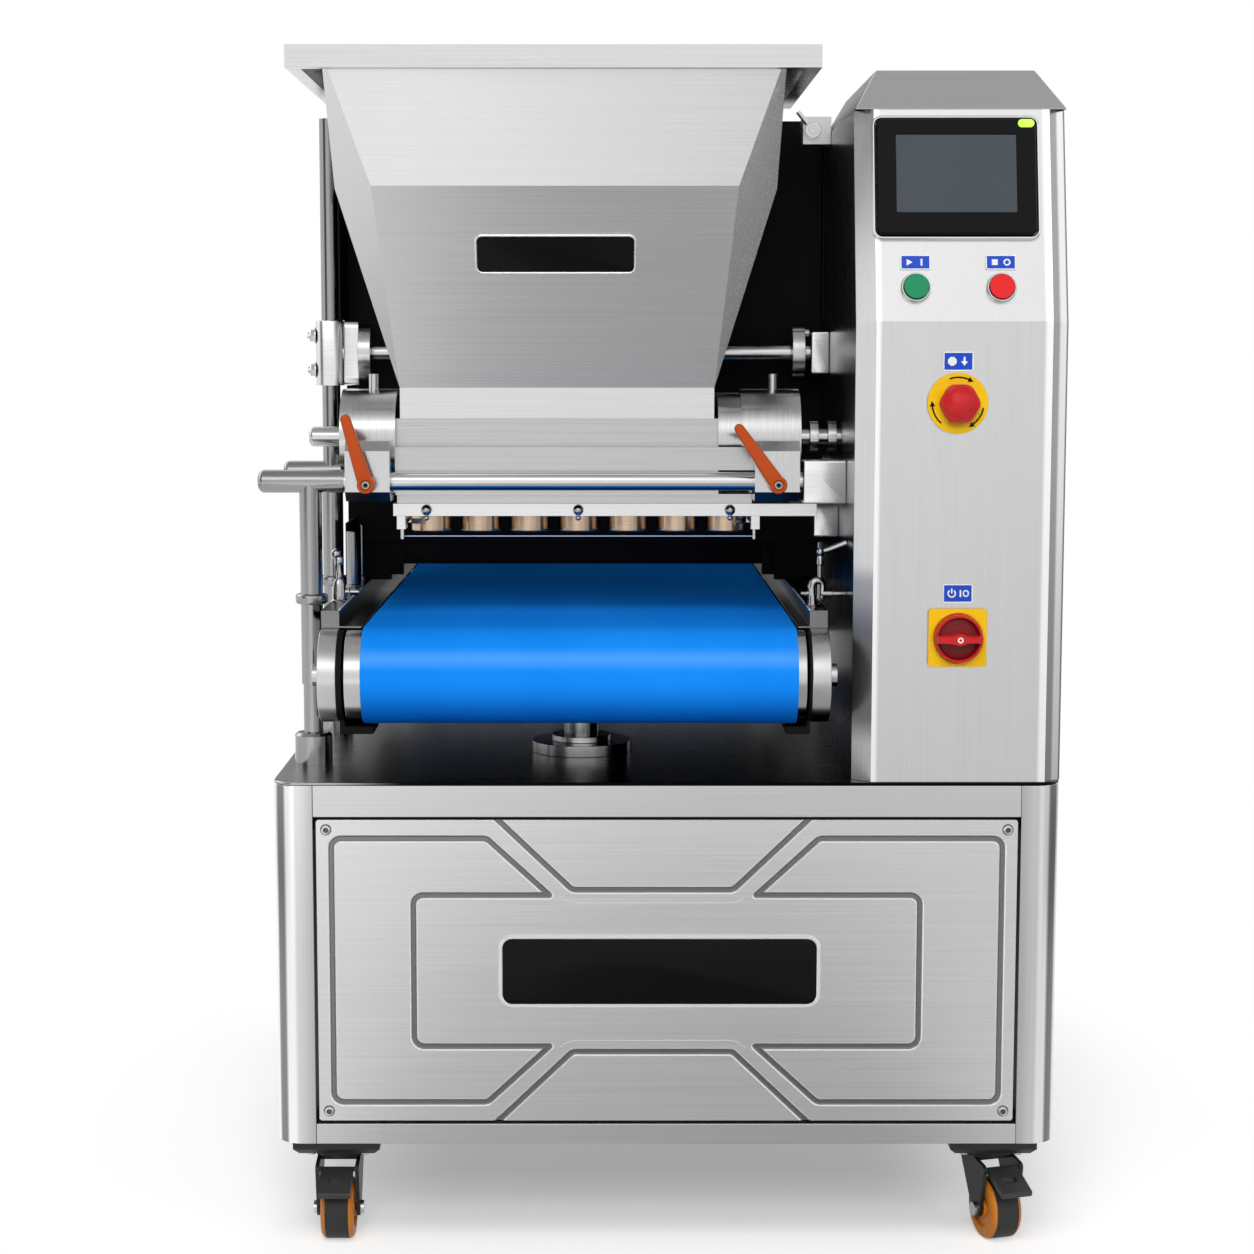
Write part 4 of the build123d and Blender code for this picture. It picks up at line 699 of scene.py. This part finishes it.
def tube(shape, path, radii, steps=20):
    """A round bar along a path, with a radius at each point and closed ends."""
    path = [Vector(point) for point in path]
    last = len(path) - 1
    rings = []
    side = None
    for index, point in enumerate(path):
        ahead = (path[min(index + 1, last)] - path[max(index - 1, 0)]).normalized()
        if side is None:
            side = ahead.orthogonal().normalized()
        side = (side - ahead * side.dot(ahead)).normalized()
        other = ahead.cross(side)
        spots = [point + radii[index] * (side * x + other * y) for x, y in circle(1, steps)]
        rings.append([shape.verts.new(spot * mm) for spot in spots])
    skin(shape, rings)


def ball(radius, centre, steps=10):
    """Profile of a ball about a height."""
    angles = [pi * step / steps for step in range(steps + 1)]
    return [(max(radius * sin(angle), 0.1), centre - radius * cos(angle)) for angle in angles]


def widened(profile, radius):
    """A profile with its radii counted from another radius."""
    return [(radius + gap, height) for gap, height in profile]


def add_object(name, data):
    """An object in the scene."""
    added = bpy.data.objects.new(name, data)
    scene.collection.objects.link(added)
    return added


def add_piece(name, shape, finish, body="machine", replaced=None):
    """A finished piece: smooth apart from its sharp edges, with its finish, on its body."""
    bmesh.ops.recalc_face_normals(shape, faces=shape.faces)
    mesh = bpy.data.meshes.new(name)
    shape.to_mesh(mesh)
    shape.free()
    mesh.polygons.foreach_set("use_smooth", [True] * len(mesh.polygons))
    mesh.set_sharp_from_angle(angle=radians(sharp_angle))
    mesh.materials.append(finishes[finish])
    piece = add_object(name, mesh)
    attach(piece, body)
    if replaced:
        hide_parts(replaced)


def turned_piece(name, place, profile, finish, body, steps=40, closed=False):
    """A piece that is one turned form."""
    shape = bmesh.new()
    turned(shape, place, profile, steps, closed=closed)
    add_piece(name, shape, finish, body)


to_front = Vector((0, -1, 0))
to_left = Vector((-1, 0, 0))
to_top = Vector((0, 0, 1))
hexagon = 6


# Screws and bolts, each with its profile as (radius, height) points

socket_head = [(5, 0), (5, 1.3), (4.3, 2.2), (2.7, 2.5), (2.3, 1.2), (0.2, 1)]
# The socket's well and a ring round the head carry painted shade
socket_well = [(2.5, 1.1), (2.5, 1.9), (0.2, 1.9)]
socket_shade_ring = [(4.8, -0.4), (4.8, 0.3), (5.7, 0.3), (5.7, -0.4)]
thumb_head = [(3.2, 0), (3.2, 1.2), (5, 1.4)] + ball(5.6, 3.6)[4:]
thumb_stem = [(2, 0), (2, 2.4)]
thumb_ball = ball(3, 0)
stem_spot = Vector((0, -3, -4.4))
ball_spot = Vector((0, -3, -8.2))


def make_screws():
    """Socket screws of the covers and ball-headed screws of the nozzle bar."""
    covers = bmesh.new()
    sockets = bmesh.new()
    thumbs = bmesh.new()
    bar_bottom = node_box("nozzle_bar")[0].z
    for low, high in islands("screws"):
        middle = (low + high) / 2
        if high.z > bar_bottom:
            seat = Vector((middle.x, high.y, middle.z))
            turned(thumbs, on_face(seat, to_front), thumb_head)
            turned(thumbs, on_face(seat + stem_spot, -to_top), thumb_stem)
            turned(thumbs, on_face(seat + ball_spot, -to_top), thumb_ball)
            continue
        out = to_front if middle.y < 0 else -to_front
        face = high.y if middle.y < 0 else low.y
        seat = on_face((middle.x, face, middle.z), out)
        turned(covers, seat, socket_head)
        # Painted shade: each socket's well and a dark ring round the head
        turned(sockets, seat, socket_well, hexagon)
        turned(sockets, seat, socket_shade_ring, closed=True)
    add_piece("cover_screws", covers, "steel_screw", replaced="screws")
    add_piece("cover_sockets", sockets, "steel_underside")
    add_piece("thumb_screws", thumbs, "steel_chrome")


lever_screw = [(4.3, 0.4), (4.3, 2.4), (3.8, 3), (2.8, 3), (2.4, 1.6), (0.2, 1.5)]
lever_well = [(2.3, 1.4), (2.3, 2.1), (0.2, 2.1)]
lever_ring = [(5.4, -1), (5.4, 1.6), (6, 2.3), (7.6, 2.3), (8.6, 1.6), (9, 0.4), (9, -1)]
lever_sink = 0.5


def make_lever_screws():
    """The bright socket screw in each lever's hub, inside a raised ring."""
    for side in ("left", "right"):
        lever = "clamp_lever_" + side
        hub = pivot(lever)
        hub.y = node_box(lever)[0].y + lever_sink
        place = on_face(hub, to_front)
        turned_piece("lever_screw_" + side, place, lever_screw, "steel_chrome", lever)
        # Painted shade: the hex socket's well is black
        turned_piece("lever_socket_" + side, place, lever_well, "black_paint", lever, hexagon)
        turned_piece("lever_ring_" + side, place, lever_ring, "lever_orange", lever, 48, True)


bolt_washer = [(9.2, 0), (9.2, 1.2), (8.8, 1.5), (0.2, 1.5)]
bolt_head = [(7.6, 1.5), (7.6, 5.7), (6.6, 6.7), (0.2, 6.7)]
bolt_end = [(3.6, 6.7), (3.6, 9.1), (2.8, 9.9), (0.2, 9.9)]
bolt_spread = 19


def make_flange_bolts():
    """Hexagon bolts on the left bearing of the cross shaft."""
    bolts = bmesh.new()
    face = node_box("bearing_brackets")[0].x
    axis = pivot("crank_shaft")
    for rise in (-bolt_spread, bolt_spread):
        place = on_face((face, axis.y, axis.z + rise), to_left)
        turned(bolts, place, bolt_washer)
        turned(bolts, place, bolt_head, hexagon)
        turned(bolts, place, bolt_end, 20)
    add_piece("flange_bolts", bolts, "steel_screw")


def make_shield_screws():
    """Button-headed screws round the back of the shield, clear of the raised guides' screens."""
    low, high = node_box("rear_shield")
    inset = 14
    lift_room = 88
    bottom = low.z + lift_room
    top = high.z - inset
    shape = bmesh.new()
    for x in (low.x + inset, (low.x + high.x) / 2, high.x - inset):
        for z in (bottom, (bottom + top) / 2, top):
            turned(shape, on_face((x, high.y, z), -to_front), socket_head)
    add_piece("shield_screws", shape, "steel_screw")


pad_bolt = [(5.4, -0.2), (5.4, 3), (4.6, 3.8), (0.2, 3.8)]
pad_inset = 17


def make_castor_bolts():
    """Four bolt heads under each castor's pad."""
    bolts = bmesh.new()
    for low, high in islands("castor_pads"):
        for x in (low.x + pad_inset, high.x - pad_inset):
            for y in (low.y + pad_inset, high.y - pad_inset):
                turned(bolts, on_face((x, y, low.z), -to_top), pad_bolt, hexagon)
    add_piece("castor_bolts", bolts, "steel_screw")


king_washer = [(17, 0), (17, 4.5), (15.5, 6), (0.2, 6)]
king_nut = [(12, 5.8), (12, 15), (10.6, 16.4), (0.2, 16.4)]
crown_rise = 4
axle_reach = 14
axle_radius = 8.6


def make_swivel_nuts():
    """The king pin's washer and nut under the crown of each fork, and bright heads on its axle."""
    for corner in castor_corners:
        fork = "castor_fork_" + corner
        place = on_face(pivot(fork) + crown_rise * to_top, -to_top)
        shape = bmesh.new()
        turned(shape, place, king_washer)
        turned(shape, place, king_nut, hexagon)
        add_piece("swivel_nut_" + corner, shape, "castor_black", fork)
        wheel = "castor_wheel_" + corner
        axle = Vector(joint_of[wheel]["axis"])

        def is_axle_head(spot, out):
            offset = spot - pivot(wheel)
            along = offset.dot(axle)
            return abs(along) > axle_reach and (offset - axle * along).length < axle_radius

        second_finish(fork, "steel_screw", is_axle_head)


# Head and conveyor

def make_badges():
    """Bare black badge plates, each with a bright rim whose finish adds a painted highlight."""
    wide = 250
    upright_depth = 5
    face_levels = (-0.5, 0.9)
    rim_levels = (-0.7, 1.9)
    plates = bmesh.new()
    rims = bmesh.new()
    for low, high in islands("badge_plates"):
        size = high - low
        lean = atan2(size.y, size.z) if size.y > upright_depth else 0
        height = size.z / cos(lean)
        radius, border = (14, 4) if size.x > wide else (8, 2.4)
        place = on_face((low + high) / 2, (0, -cos(lean), -sin(lean)))
        tile(plates, place, size.x - border, height - border, radius - border / 2, *face_levels, 0.3)
        rim(rims, place, size.x, height, radius, border, *rim_levels, 0.8)
    add_piece("badge_faces", plates, "black_gloss", replaced="badge_plates")
    add_piece("badge_rims", rims, "steel_bead_edge")


def make_bearings():
    """Rail brackets and bearings; the left bearing is a clamp on the column and a flange."""
    clamp = 31
    clamp_inset = 3
    clamp_corner = 11
    flange_corner = 9
    joint_gap = 0.6
    collar_limit = 10
    chamfer = 1.5
    shape = bmesh.new()
    for low, high in islands("bearing_brackets"):
        middle = (low + high) / 2
        size = high - low
        side = on_face((high.x, middle.y, middle.z), to_left)
        if middle.x < 0:
            foot = shift(low.x + clamp / 2, middle.y, low.z)
            tile(shape, foot, clamp, size.y - 2 * clamp_inset, clamp_corner, 0, size.z, 2.5)
            tile(shape, side, size.y, size.z, flange_corner, 0, size.x - clamp - joint_gap, 2)
        elif size.x < collar_limit:
            reach = size.z / 2
            profile = [(reach, 0), (reach, size.x - chamfer), (reach - chamfer, size.x), (0.2, size.x)]
            turned(shape, side, profile)
        else:
            face = on_face((middle.x, high.y, middle.z), to_front)
            tile(shape, face, size.x, size.z, 2, 0, size.y, chamfer)
    add_piece("bearing_housings", shape, "steel_bracket", replaced="bearing_brackets")


def make_painted_shade_screens():
    """Black baffle that joins the guides' screens over the belt, and the screens beside the guides: dark
    sheets that stand where there is only shade, as painted shade.
    """
    spots = [vert.co / mm for vert in nodes["side_guides"].data.vertices]
    least_rise = 20
    tall = [spot for spot in spots if spot.z > guide_roof + least_rise]
    left = max(spot.x for spot in tall if spot.x < 0)
    right = min(spot.x for spot in tall if spot.x > 0)
    top = max(spot.z for spot in tall)
    back = max(spot.y for spot in tall)
    depth = (min(spot.y for spot in tall), back)
    wing = 14
    lap = 0.5
    wing_bottom = guide_roof + 4
    baffle_bottom = guide_roof + 16.5
    skirt_bottom = deck_top + 107
    fin_front = guide_front + 245
    fin_top = guide_roof + 71.5
    shape = bmesh.new()
    sheet(shape, right - wing, right + lap, *depth, wing_bottom, top)
    sheet(shape, left - lap, left + wing, *depth, wing_bottom, top)
    sheet(shape, left + wing - lap, right - wing + lap, *depth, baffle_bottom, top)
    sheet(shape, plate_right + 1, console_left - 2, *depth, skirt_bottom, guide_roof + 2)
    sheet(shape, plate_left, plate_left + 2, fin_front, back, guide_roof - 0.2, fin_top)
    add_piece("painted_shade_screens", shape, "black_paint", "conveyor")


def make_guide_trim():
    """Two bars on the left guide, and a lip along both guides up to the head whose brightness is a painted
    highlight.
    """
    bar_inset = 7
    height = 62.5
    bars = bmesh.new()
    for y, radius in ((guide_front + 245, 6.2), (guide_front + 350, 2.6)):
        foot = radius + 1.4
        profile = [(foot, 0), (foot, 3), (radius, 4), (radius, height - 1)]
        profile += [(radius - 1, height), (0.2, height)]
        turned(bars, shift(plate_left + bar_inset, y, guide_roof), profile, 28)
    add_piece("guide_bars", bars, "steel_post", body="conveyor")
    lip_half = 0.8
    lip_rise = 1.4
    lip_depth = (guide_front + 1, guide_front + 235)
    lips = bmesh.new()
    for edge in (plate_left + plate_width, plate_right - plate_width):
        sheet(lips, edge - lip_half, edge + lip_half, *lip_depth, guide_roof - 0.2, guide_roof + lip_rise)
    add_piece("guide_lips", lips, "steel_bead_edge", body="conveyor")


bottle_body = [(9, 0), (9, 1.6), (8, 2.4), (7.4, 2.6), (7.4, 15), (6.6, 20), (5, 23.5), (0.2, 24.5)]
bottle_neck = [(2.6, 22), (3.4, 26), (3.4, 30), (2.4, 33), (1.8, 40), (1.8, 46), (0.2, 46)]
bottle_collar = [(4.2, 39), (5, 41), (5, 45), (3.8, 47), (0.2, 47)]
bottle_pin = [(3.4, 0), (4.2, 0.8), (4.2, 4.5), (3.2, 5.4), (3.2, 14), (2.4, 15), (0.2, 15)]
hook_foot = [(8, 0), (8, 1.4), (7.4, 2), (0.2, 2)]
hook_stub = [(2.2, 0), (2.2, 4.5), (2.8, 5), (2.8, 10), (0.2, 10)]
hook_rod = [(1.4, 24), (1.4, 46), (0.2, 46)]
hook_cup = [(2.6, 42), (4, 43.5), (4, 50), (3, 52), (0.2, 52)]
hook_bend = 5.6
hook_path = [(0, 0, 0), (0, 0, 8), (-0.5, 0, 15)]
hook_path += [(5 - x, 0, 21 + y) for x, y in (polar(hook_bend, angle) for angle in range(0, 181, 30))]
hook_path += [(10.4, 0, 14), (9.6, 0, 8), (8.4, 0, 5)]
hook_radii = [5.6, 5, 4.6, 4.8, 4.8, 4.6, 4.2, 3.8, 3.4, 3.2, 2.8, 2.6, 1.2]
wall_gap = 0.6


def make_guide_links():
    """Height links on the guides: a bottle-shaped post on the left, a hooked one on the right."""
    links = bmesh.new()
    left = shift(plate_left + plate_width / 2, guide_front + 90, guide_roof)
    turned(links, left, bottle_body)
    turned(links, left, bottle_neck, 20)
    turned(links, left, bottle_collar, 24)
    turned(links, left @ shift(-3, 0, 0), ball(5.6, 50), 24)
    turned(links, left @ on_face((6, 0, 10), -to_left), bottle_pin, 24)

    foot = Vector((plate_right - plate_width / 2 - 3, guide_front + 43, guide_roof))
    tube(links, [foot + Vector(point) for point in hook_path], hook_radii)
    turned(links, shift(*foot), hook_foot)
    turned(links, on_face(foot + Vector((-12, 0, 13)), -to_left), hook_stub, 20)
    reach = console_left - wall_gap - foot.x
    bar = [(2, 8), (3.2, 8.6), (3.2, reach - 14), (2.7, reach - 13.4), (2.7, reach), (0.2, reach)]
    turned(links, on_face(foot + Vector((0, 0, 13)), -to_left), bar, 24)
    rod = foot + Vector((7.5, 0, 0))
    turned(links, shift(*rod), hook_rod, 16)
    turned(links, shift(*rod), hook_cup, 24)
    turned(links, shift(*rod), ball(4.4, 56), 24)
    start = rod + Vector((0, 0, 56))
    end = Vector((console_left - wall_gap, start.y, start.z + 9))
    tube(links, [start, start + Vector((8, 0, 2)), end], [2.2, 2.6, 3.6])
    add_piece("guide_links", links, "steel_chrome", body="conveyor")


# Console

slant_out = -Vector(joint_of["start_button"]["axis"])
button_ring = [
    (12.7, 0.1), (12.7, 5.6), (13.2, 6.4), (13.9, 6.4), (14.4, 5.6), (14.4, 2.6), (15, 2.2), (15, 0),
]
ring_sink = 3


def make_button_rings():
    """Bright stepped ring round each push button."""
    rings = bmesh.new()
    for low, high in islands("button_bezels"):
        place = on_face((low + high) / 2 - slant_out * ring_sink, slant_out)
        turned(rings, place, button_ring, 56, closed=True)
    add_piece("button_rings", rings, "steel_screw", replaced="button_bezels")


def make_screen_frame():
    """Bright frame round the screen."""
    low, high = node_box("screen_bezel")
    thickness = 8
    border = 4
    corner = 10
    rise = 5
    base = on_face((low + high) / 2 - slant_out * thickness / 2, slant_out)
    width = high.x - low.x + 2 * border
    height = (high.z - low.z - thickness * slant_out.z) / -slant_out.y + 2 * border
    shape = bmesh.new()
    rim(shape, base, width, height, corner, border - 0.2, 0, rise, 1.4)
    add_piece("screen_frame", shape, "steel_screw")


def make_labels():
    """White borders and plain working signs on the blue labels."""
    white = bmesh.new()
    upright_depth = 1.5
    proud = 0.4
    spots = []
    for low, high in islands("label_plates"):
        middle = (low + high) / 2
        out = slant_out if high.y - low.y > upright_depth else to_front
        place = on_face(middle + out * proud, out)
        rim(white, place, high.x - low.x, (high.z - low.z) / -out.y, 1.6, 1.3, -0.2, 0.25, 0.1)
        spots.append((round(middle.z, -1), place))
    power, halt, start, stop = [place for _, place in sorted(spots, key=lambda spot: spot[0])]
    depth = (-0.1, 0.3)
    edge = 0.05

    def sign(place, points):
        prism(white, place, points, *depth)

    aside = 6
    left = shift(-aside, 0, 0)
    right = shift(aside, 0, 0)
    sign(start @ left, [(-2.6, -3.2), (3.4, 0), (-2.6, 3.2)])
    sign(start @ right, rounded(1.8, 7, 0.5))
    sign(stop @ left, rounded(5.8, 5.8, 0.6))
    rim(white, stop @ right, 7, 7, 3.45, 1.5, *depth, edge)
    sign(halt @ left, [polar(4.6, 22.5 + 45 * index) for index in range(8)])
    arrow = [(-1, 4.4), (1, 4.4), (1, 0), (3.4, 0), (0, -4.4), (-3.4, 0), (-1, 0)]
    sign(halt @ right, arrow)
    arc_sign(white, power @ left, 3.6, 1.4, 125, 415, *depth)
    sign(power @ left @ shift(0, 2.6, 0), rounded(1.4, 5, 0.4))
    sign(power @ right @ shift(-3.4, 0, 0), rounded(1.6, 7, 0.4))
    rim(white, power @ right @ shift(2, 0, 0), 6.2, 7, 3.05, 1.4, *depth, edge)
    add_piece("label_signs", white, "label_white")


switch_plate, stop_disc = sorted(islands("control_backplates"), key=lambda box: box[0].z)
mushroom_rim = [(15, 0), (17.5, 0.6), (19.8, 2.6), (19.9, 6.4), (18.9, 8.2), (17.2, 8.9)]
mushroom_cap = [
    (17, 8), (16.6, 9.4), (15.6, 10), (15.2, 9.6), (14.6, 9.7), (13.8, 10.8), (9, 13.2), (4, 14.5),
    (0.2, 14.9),
]
grip_lobes = 6
lobe_depth = 1.3


def make_emergency_stop():
    """Red mushroom head with grip lobes, and turn arrows on the yellow disc."""
    low, high = node_box("estop_head")
    middle = (low + high) / 2
    place = on_face((middle.x, high.y, middle.z), to_front)
    head = bmesh.new()
    turned(head, place, mushroom_rim, 96, grip_lobes, lobe_depth)
    turned(head, place, mushroom_cap, 64)
    add_piece("stop_mushroom", head, "knob_red", "estop_head", "estop_head")

    centre = (stop_disc[0] + stop_disc[1]) / 2
    face = on_face((centre.x, stop_disc[0].y, centre.z), to_front)
    radius = 25.4
    stroke = 1.6
    tip_angle = -24
    tail_angle = 20
    depth = (-0.1, 0.25)
    arrows = bmesh.new()
    for turn in (90, 210, 330):
        spot = face @ Matrix.Rotation(radians(turn), 4, "Z")
        arc_sign(arrows, spot, radius, stroke, tip_angle, tail_angle, *depth)
        tip = spot @ Matrix.Rotation(radians(tip_angle), 4, "Z") @ shift(radius, 0, 0)
        prism(arrows, tip, [(-2.8, 0.4), (0, -5), (2.8, 0.4)], *depth)
    add_piece("stop_arrows", arrows, "black_paint")


knob_ring = [(-3, 0.2), (0, 0), (0, 8), (-0.6, 10.9), (-1.2, 11.5), (-2.4, 11.5), (-3, 10.9)]
knob_lip = [(0.8, -0.4), (0.8, 1.4), (1.5, 2), (2.6, 1.6), (3.4, -0.4)]


def make_main_switch():
    """Red rotary handle: a raised ring, a sunk floor and a waisted grip, on the yellow plate."""
    low, high = node_box("switch_knob")
    axis = pivot("switch_knob")
    plate_face = switch_plate[0].y
    play = 0.4
    seat = plate_face - play
    place = on_face((axis.x, seat, axis.z), to_front)
    top = seat - low.y
    radius = (high.x - low.x) / 2
    half = radius - 1.4
    grip = [
        (half, 3.4), (8.5, 3.4), (5.6, 4.2), (3, 5.4), (0, 5.9), (-3, 5.4), (-7, 4.2), (-half, 3.4),
    ]
    grip += [(x, -y) for x, y in reversed(grip)]
    crest = [(x * 0.985, y * 0.86) for x, y in grip]
    knob = bmesh.new()
    turned(knob, place, widened(knob_ring, radius), 72, closed=True)
    levels = ((grip, 3), (grip, top - 1), (crest, top))
    skin(knob, [ring(knob, place, points, level) for points, level in levels])
    add_piece("switch_handle", knob, "knob_red", "switch_knob", "switch_knob")

    floor = [(radius - 2.6, 0.3), (radius - 2.6, 3.6), (radius - 5, 4.4), (0.2, 4.6)]
    turned_piece("switch_floor", place, floor, "knob_dark", "switch_knob", 72)
    pin = [(2.9, top - 0.4), (2.9, top + 0.1), (1.4, top + 0.1), (1.4, top - 0.4)]
    turned_piece("switch_pin", place, pin, "label_white", "switch_knob", 32, True)
    lip = widened(knob_lip, radius)
    face = on_face((axis.x, plate_face, axis.z), to_front)
    turned_piece("switch_lip", face, lip, "control_yellow", "machine", 72, True)


switch_cap = [
    (9, -0.6), (9, 0.2), (8.4, 0.6), (5, 0.6), (4.8, 0.1), (4.2, 0.1), (4, 0.9), (2.2, 0.9),
    (2, 0.2), (0.2, 0.2),
]


def make_hopper_switch_cap():
    """Turned cap with its centre screw on the switch beside the hopper."""
    axis = pivot("switch_arm")
    axis.y = node_box("switch_arm")[0].y
    place = on_face(axis, to_front)
    turned_piece("switch_cap", place, switch_cap, "steel_screw", "switch_arm", 48)


make_screws()
make_lever_screws()
make_badges()
make_flange_bolts()
make_guide_links()
make_castor_bolts()
make_swivel_nuts()
make_bearings()
make_painted_shade_screens()
make_guide_trim()
make_shield_screws()
make_button_rings()
make_screen_frame()
make_labels()
make_emergency_stop()
make_main_switch()
make_hopper_switch_cap()


# Floor, world, lamps and camera: places here are in metres

def make_floor():
    """A pale floor that shows white around the object, keeps its shadow and has a painted shadow under it.
    """
    mesh = bpy.data.meshes.new("floor")
    half = 9.0
    corners = [(-half, -half, 0), (half, -half, 0), (half, half, 0), (-half, half, 0)]
    mesh.from_pydata(corners, [], [(0, 1, 2, 3)])
    floor = add_object("floor", mesh)
    material = bpy.data.materials.new("floor_pale")
    graph = Graph(material)
    smooth = graph.smooth
    seen, glossy = graph.rays()
    across, along, _ = graph.split(graph.place())
    aside = abs(across)
    reach = graph.vector("LENGTH", graph.place())

    # As the camera sees it: the shadow close to the object, with a painted shadow under it where the glow
    # is lower, and white further out
    under = (1 - smooth(aside, 0.22, 0.46)) * (1 - smooth(abs(along), 0.26, 0.54))
    glow = graph.mix(under, light(0.50), light(0.34))
    pale = graph.node("BsdfPrincipled", {
        "Base Color": grey(236),
        "Roughness": 0.9,
        "Specular IOR Level": 0.0,
        "Emission Color": graph.mix(seen, light(0), glow),
        "Emission Strength": 1.0,
    })
    white = graph.node("Emission")
    oval = graph.node("Mapping", {"Vector": graph.place(), "Scale": (1.5, 0.9, 1.0)})
    open_floor = smooth(graph.vector("LENGTH", oval), 0.60, 1.10) * seen
    spread = graph.node("MixShader", {0: open_floor, 1: pale, 2: white})

    # As the steel mirrors it: brighter far out and to the left, with a lobe at each side
    lobes = graph.window(aside, 0.30, 0.42, 1.5, 2.2) * (1 - smooth(reach, 2.6, 3.4))
    sides = 1 - 0.22 * smooth(aside, 1.6, 2.8)
    far = smooth(reach, 2.4, 3.4, 0.50, 1.22) * smooth(across, -0.5, 0.9, 1.20, 0.70) * sides
    mirrored = graph.node("Emission", {"Strength": far + 0.44 * lobes})
    shown = graph.node("MixShader", {0: glossy, 1: spread, 2: mirrored})
    graph.node("OutputMaterial", {"Surface": shown})
    mesh.materials.append(material)


def make_world():
    """White all round; reflections find a soft box in front, a dim ceiling, dim sides and a dark back."""
    scene.world = bpy.data.worlds.new("studio")
    graph = Graph(scene.world)
    smooth = graph.smooth
    seen, glossy = graph.rays()
    across, ahead, up = graph.split(graph.node("TexCoord", output="Generated"))
    strip = graph.window(up, 0.30, 0.44, 0.56, 0.70) * (1 - smooth(across, -0.03, 0.05))
    soft_box = smooth(up, 0.10, 0.38, 1.12, 1.36) + 1.1 * strip
    ceiling = smooth(up, 0.60, 0.92, 1.0, 0.40)
    band = graph.window(abs(across), 0.48, 0.62, 0.84, 0.96)
    front = smooth(ahead, -0.30, 0.35, 1.0, 0.0)
    depth = smooth(across, -0.1, 0.1, 0.86, 0.46)
    back = smooth(across, -0.16, -0.05, 0.34, 0.08)
    behind = 1 - (1 - back) * smooth(ahead, 0.72, 0.92)
    studio = soft_box * ceiling * behind * (1 - depth * band * front)
    ambient = 0.10
    level = ambient + (1 - ambient) * seen
    strength = level * (1 - glossy) + studio * glossy
    background = graph.node("Background", {"Color": light(1), "Strength": strength})
    graph.node("OutputWorld", {"Surface": background})


def make_lamp(name, place, target, size, power, spread=180):
    """A soft box that points at a place on the object and shines within an angle."""
    lamp = bpy.data.lights.new(name, "AREA")
    lamp.shape = "RECTANGLE"
    lamp.size, lamp.size_y = size
    lamp.energy = power
    lamp.spread = radians(spread)
    box = add_object(name, lamp)
    box.location = place
    box.rotation_euler = (Vector(target) - Vector(place)).to_track_quat("-Z", "Y").to_euler()
    box.visible_glossy = False


def make_camera():
    """The photograph's viewpoint."""
    data = bpy.data.cameras.new("camera")
    data.sensor_width = 36
    data.lens = data.sensor_width * focal_pixels / image_size
    data.shift_x = (image_size / 2 - axis_pixel_x) / image_size
    data.clip_end = 60
    camera = add_object("camera", data)
    camera.location = camera_place
    camera.rotation_euler = (pi / 2 - camera_pitch, 0, 0)
    scene.camera = camera


make_floor()
make_world()
make_lamp("key_soft_box", (-0.5, -2.6, 3.2), (0, 0, 0.6), (1.4, 1.0), 40)
make_lamp("middle_soft_box", (-0.2, -3.4, 1.9), (0, 0, 0.66), (1.6, 0.9), 48)
make_lamp("fill_soft_box", (2.2, -3.0, 2.2), (0, 0, 0.6), (1.6, 1.6), 20)
make_lamp("rear_soft_box", (0.3, 3.4, 0.95), (0, 0, 0.6), (1.6, 0.6), 30)
make_lamp("belt_end_box", (-0.1, 1.04, 2.4), (-0.1, 1.04, 0), (0.8, 0.3), 2.2, 36)
make_camera()
scene.view_settings.view_transform = "Standard"
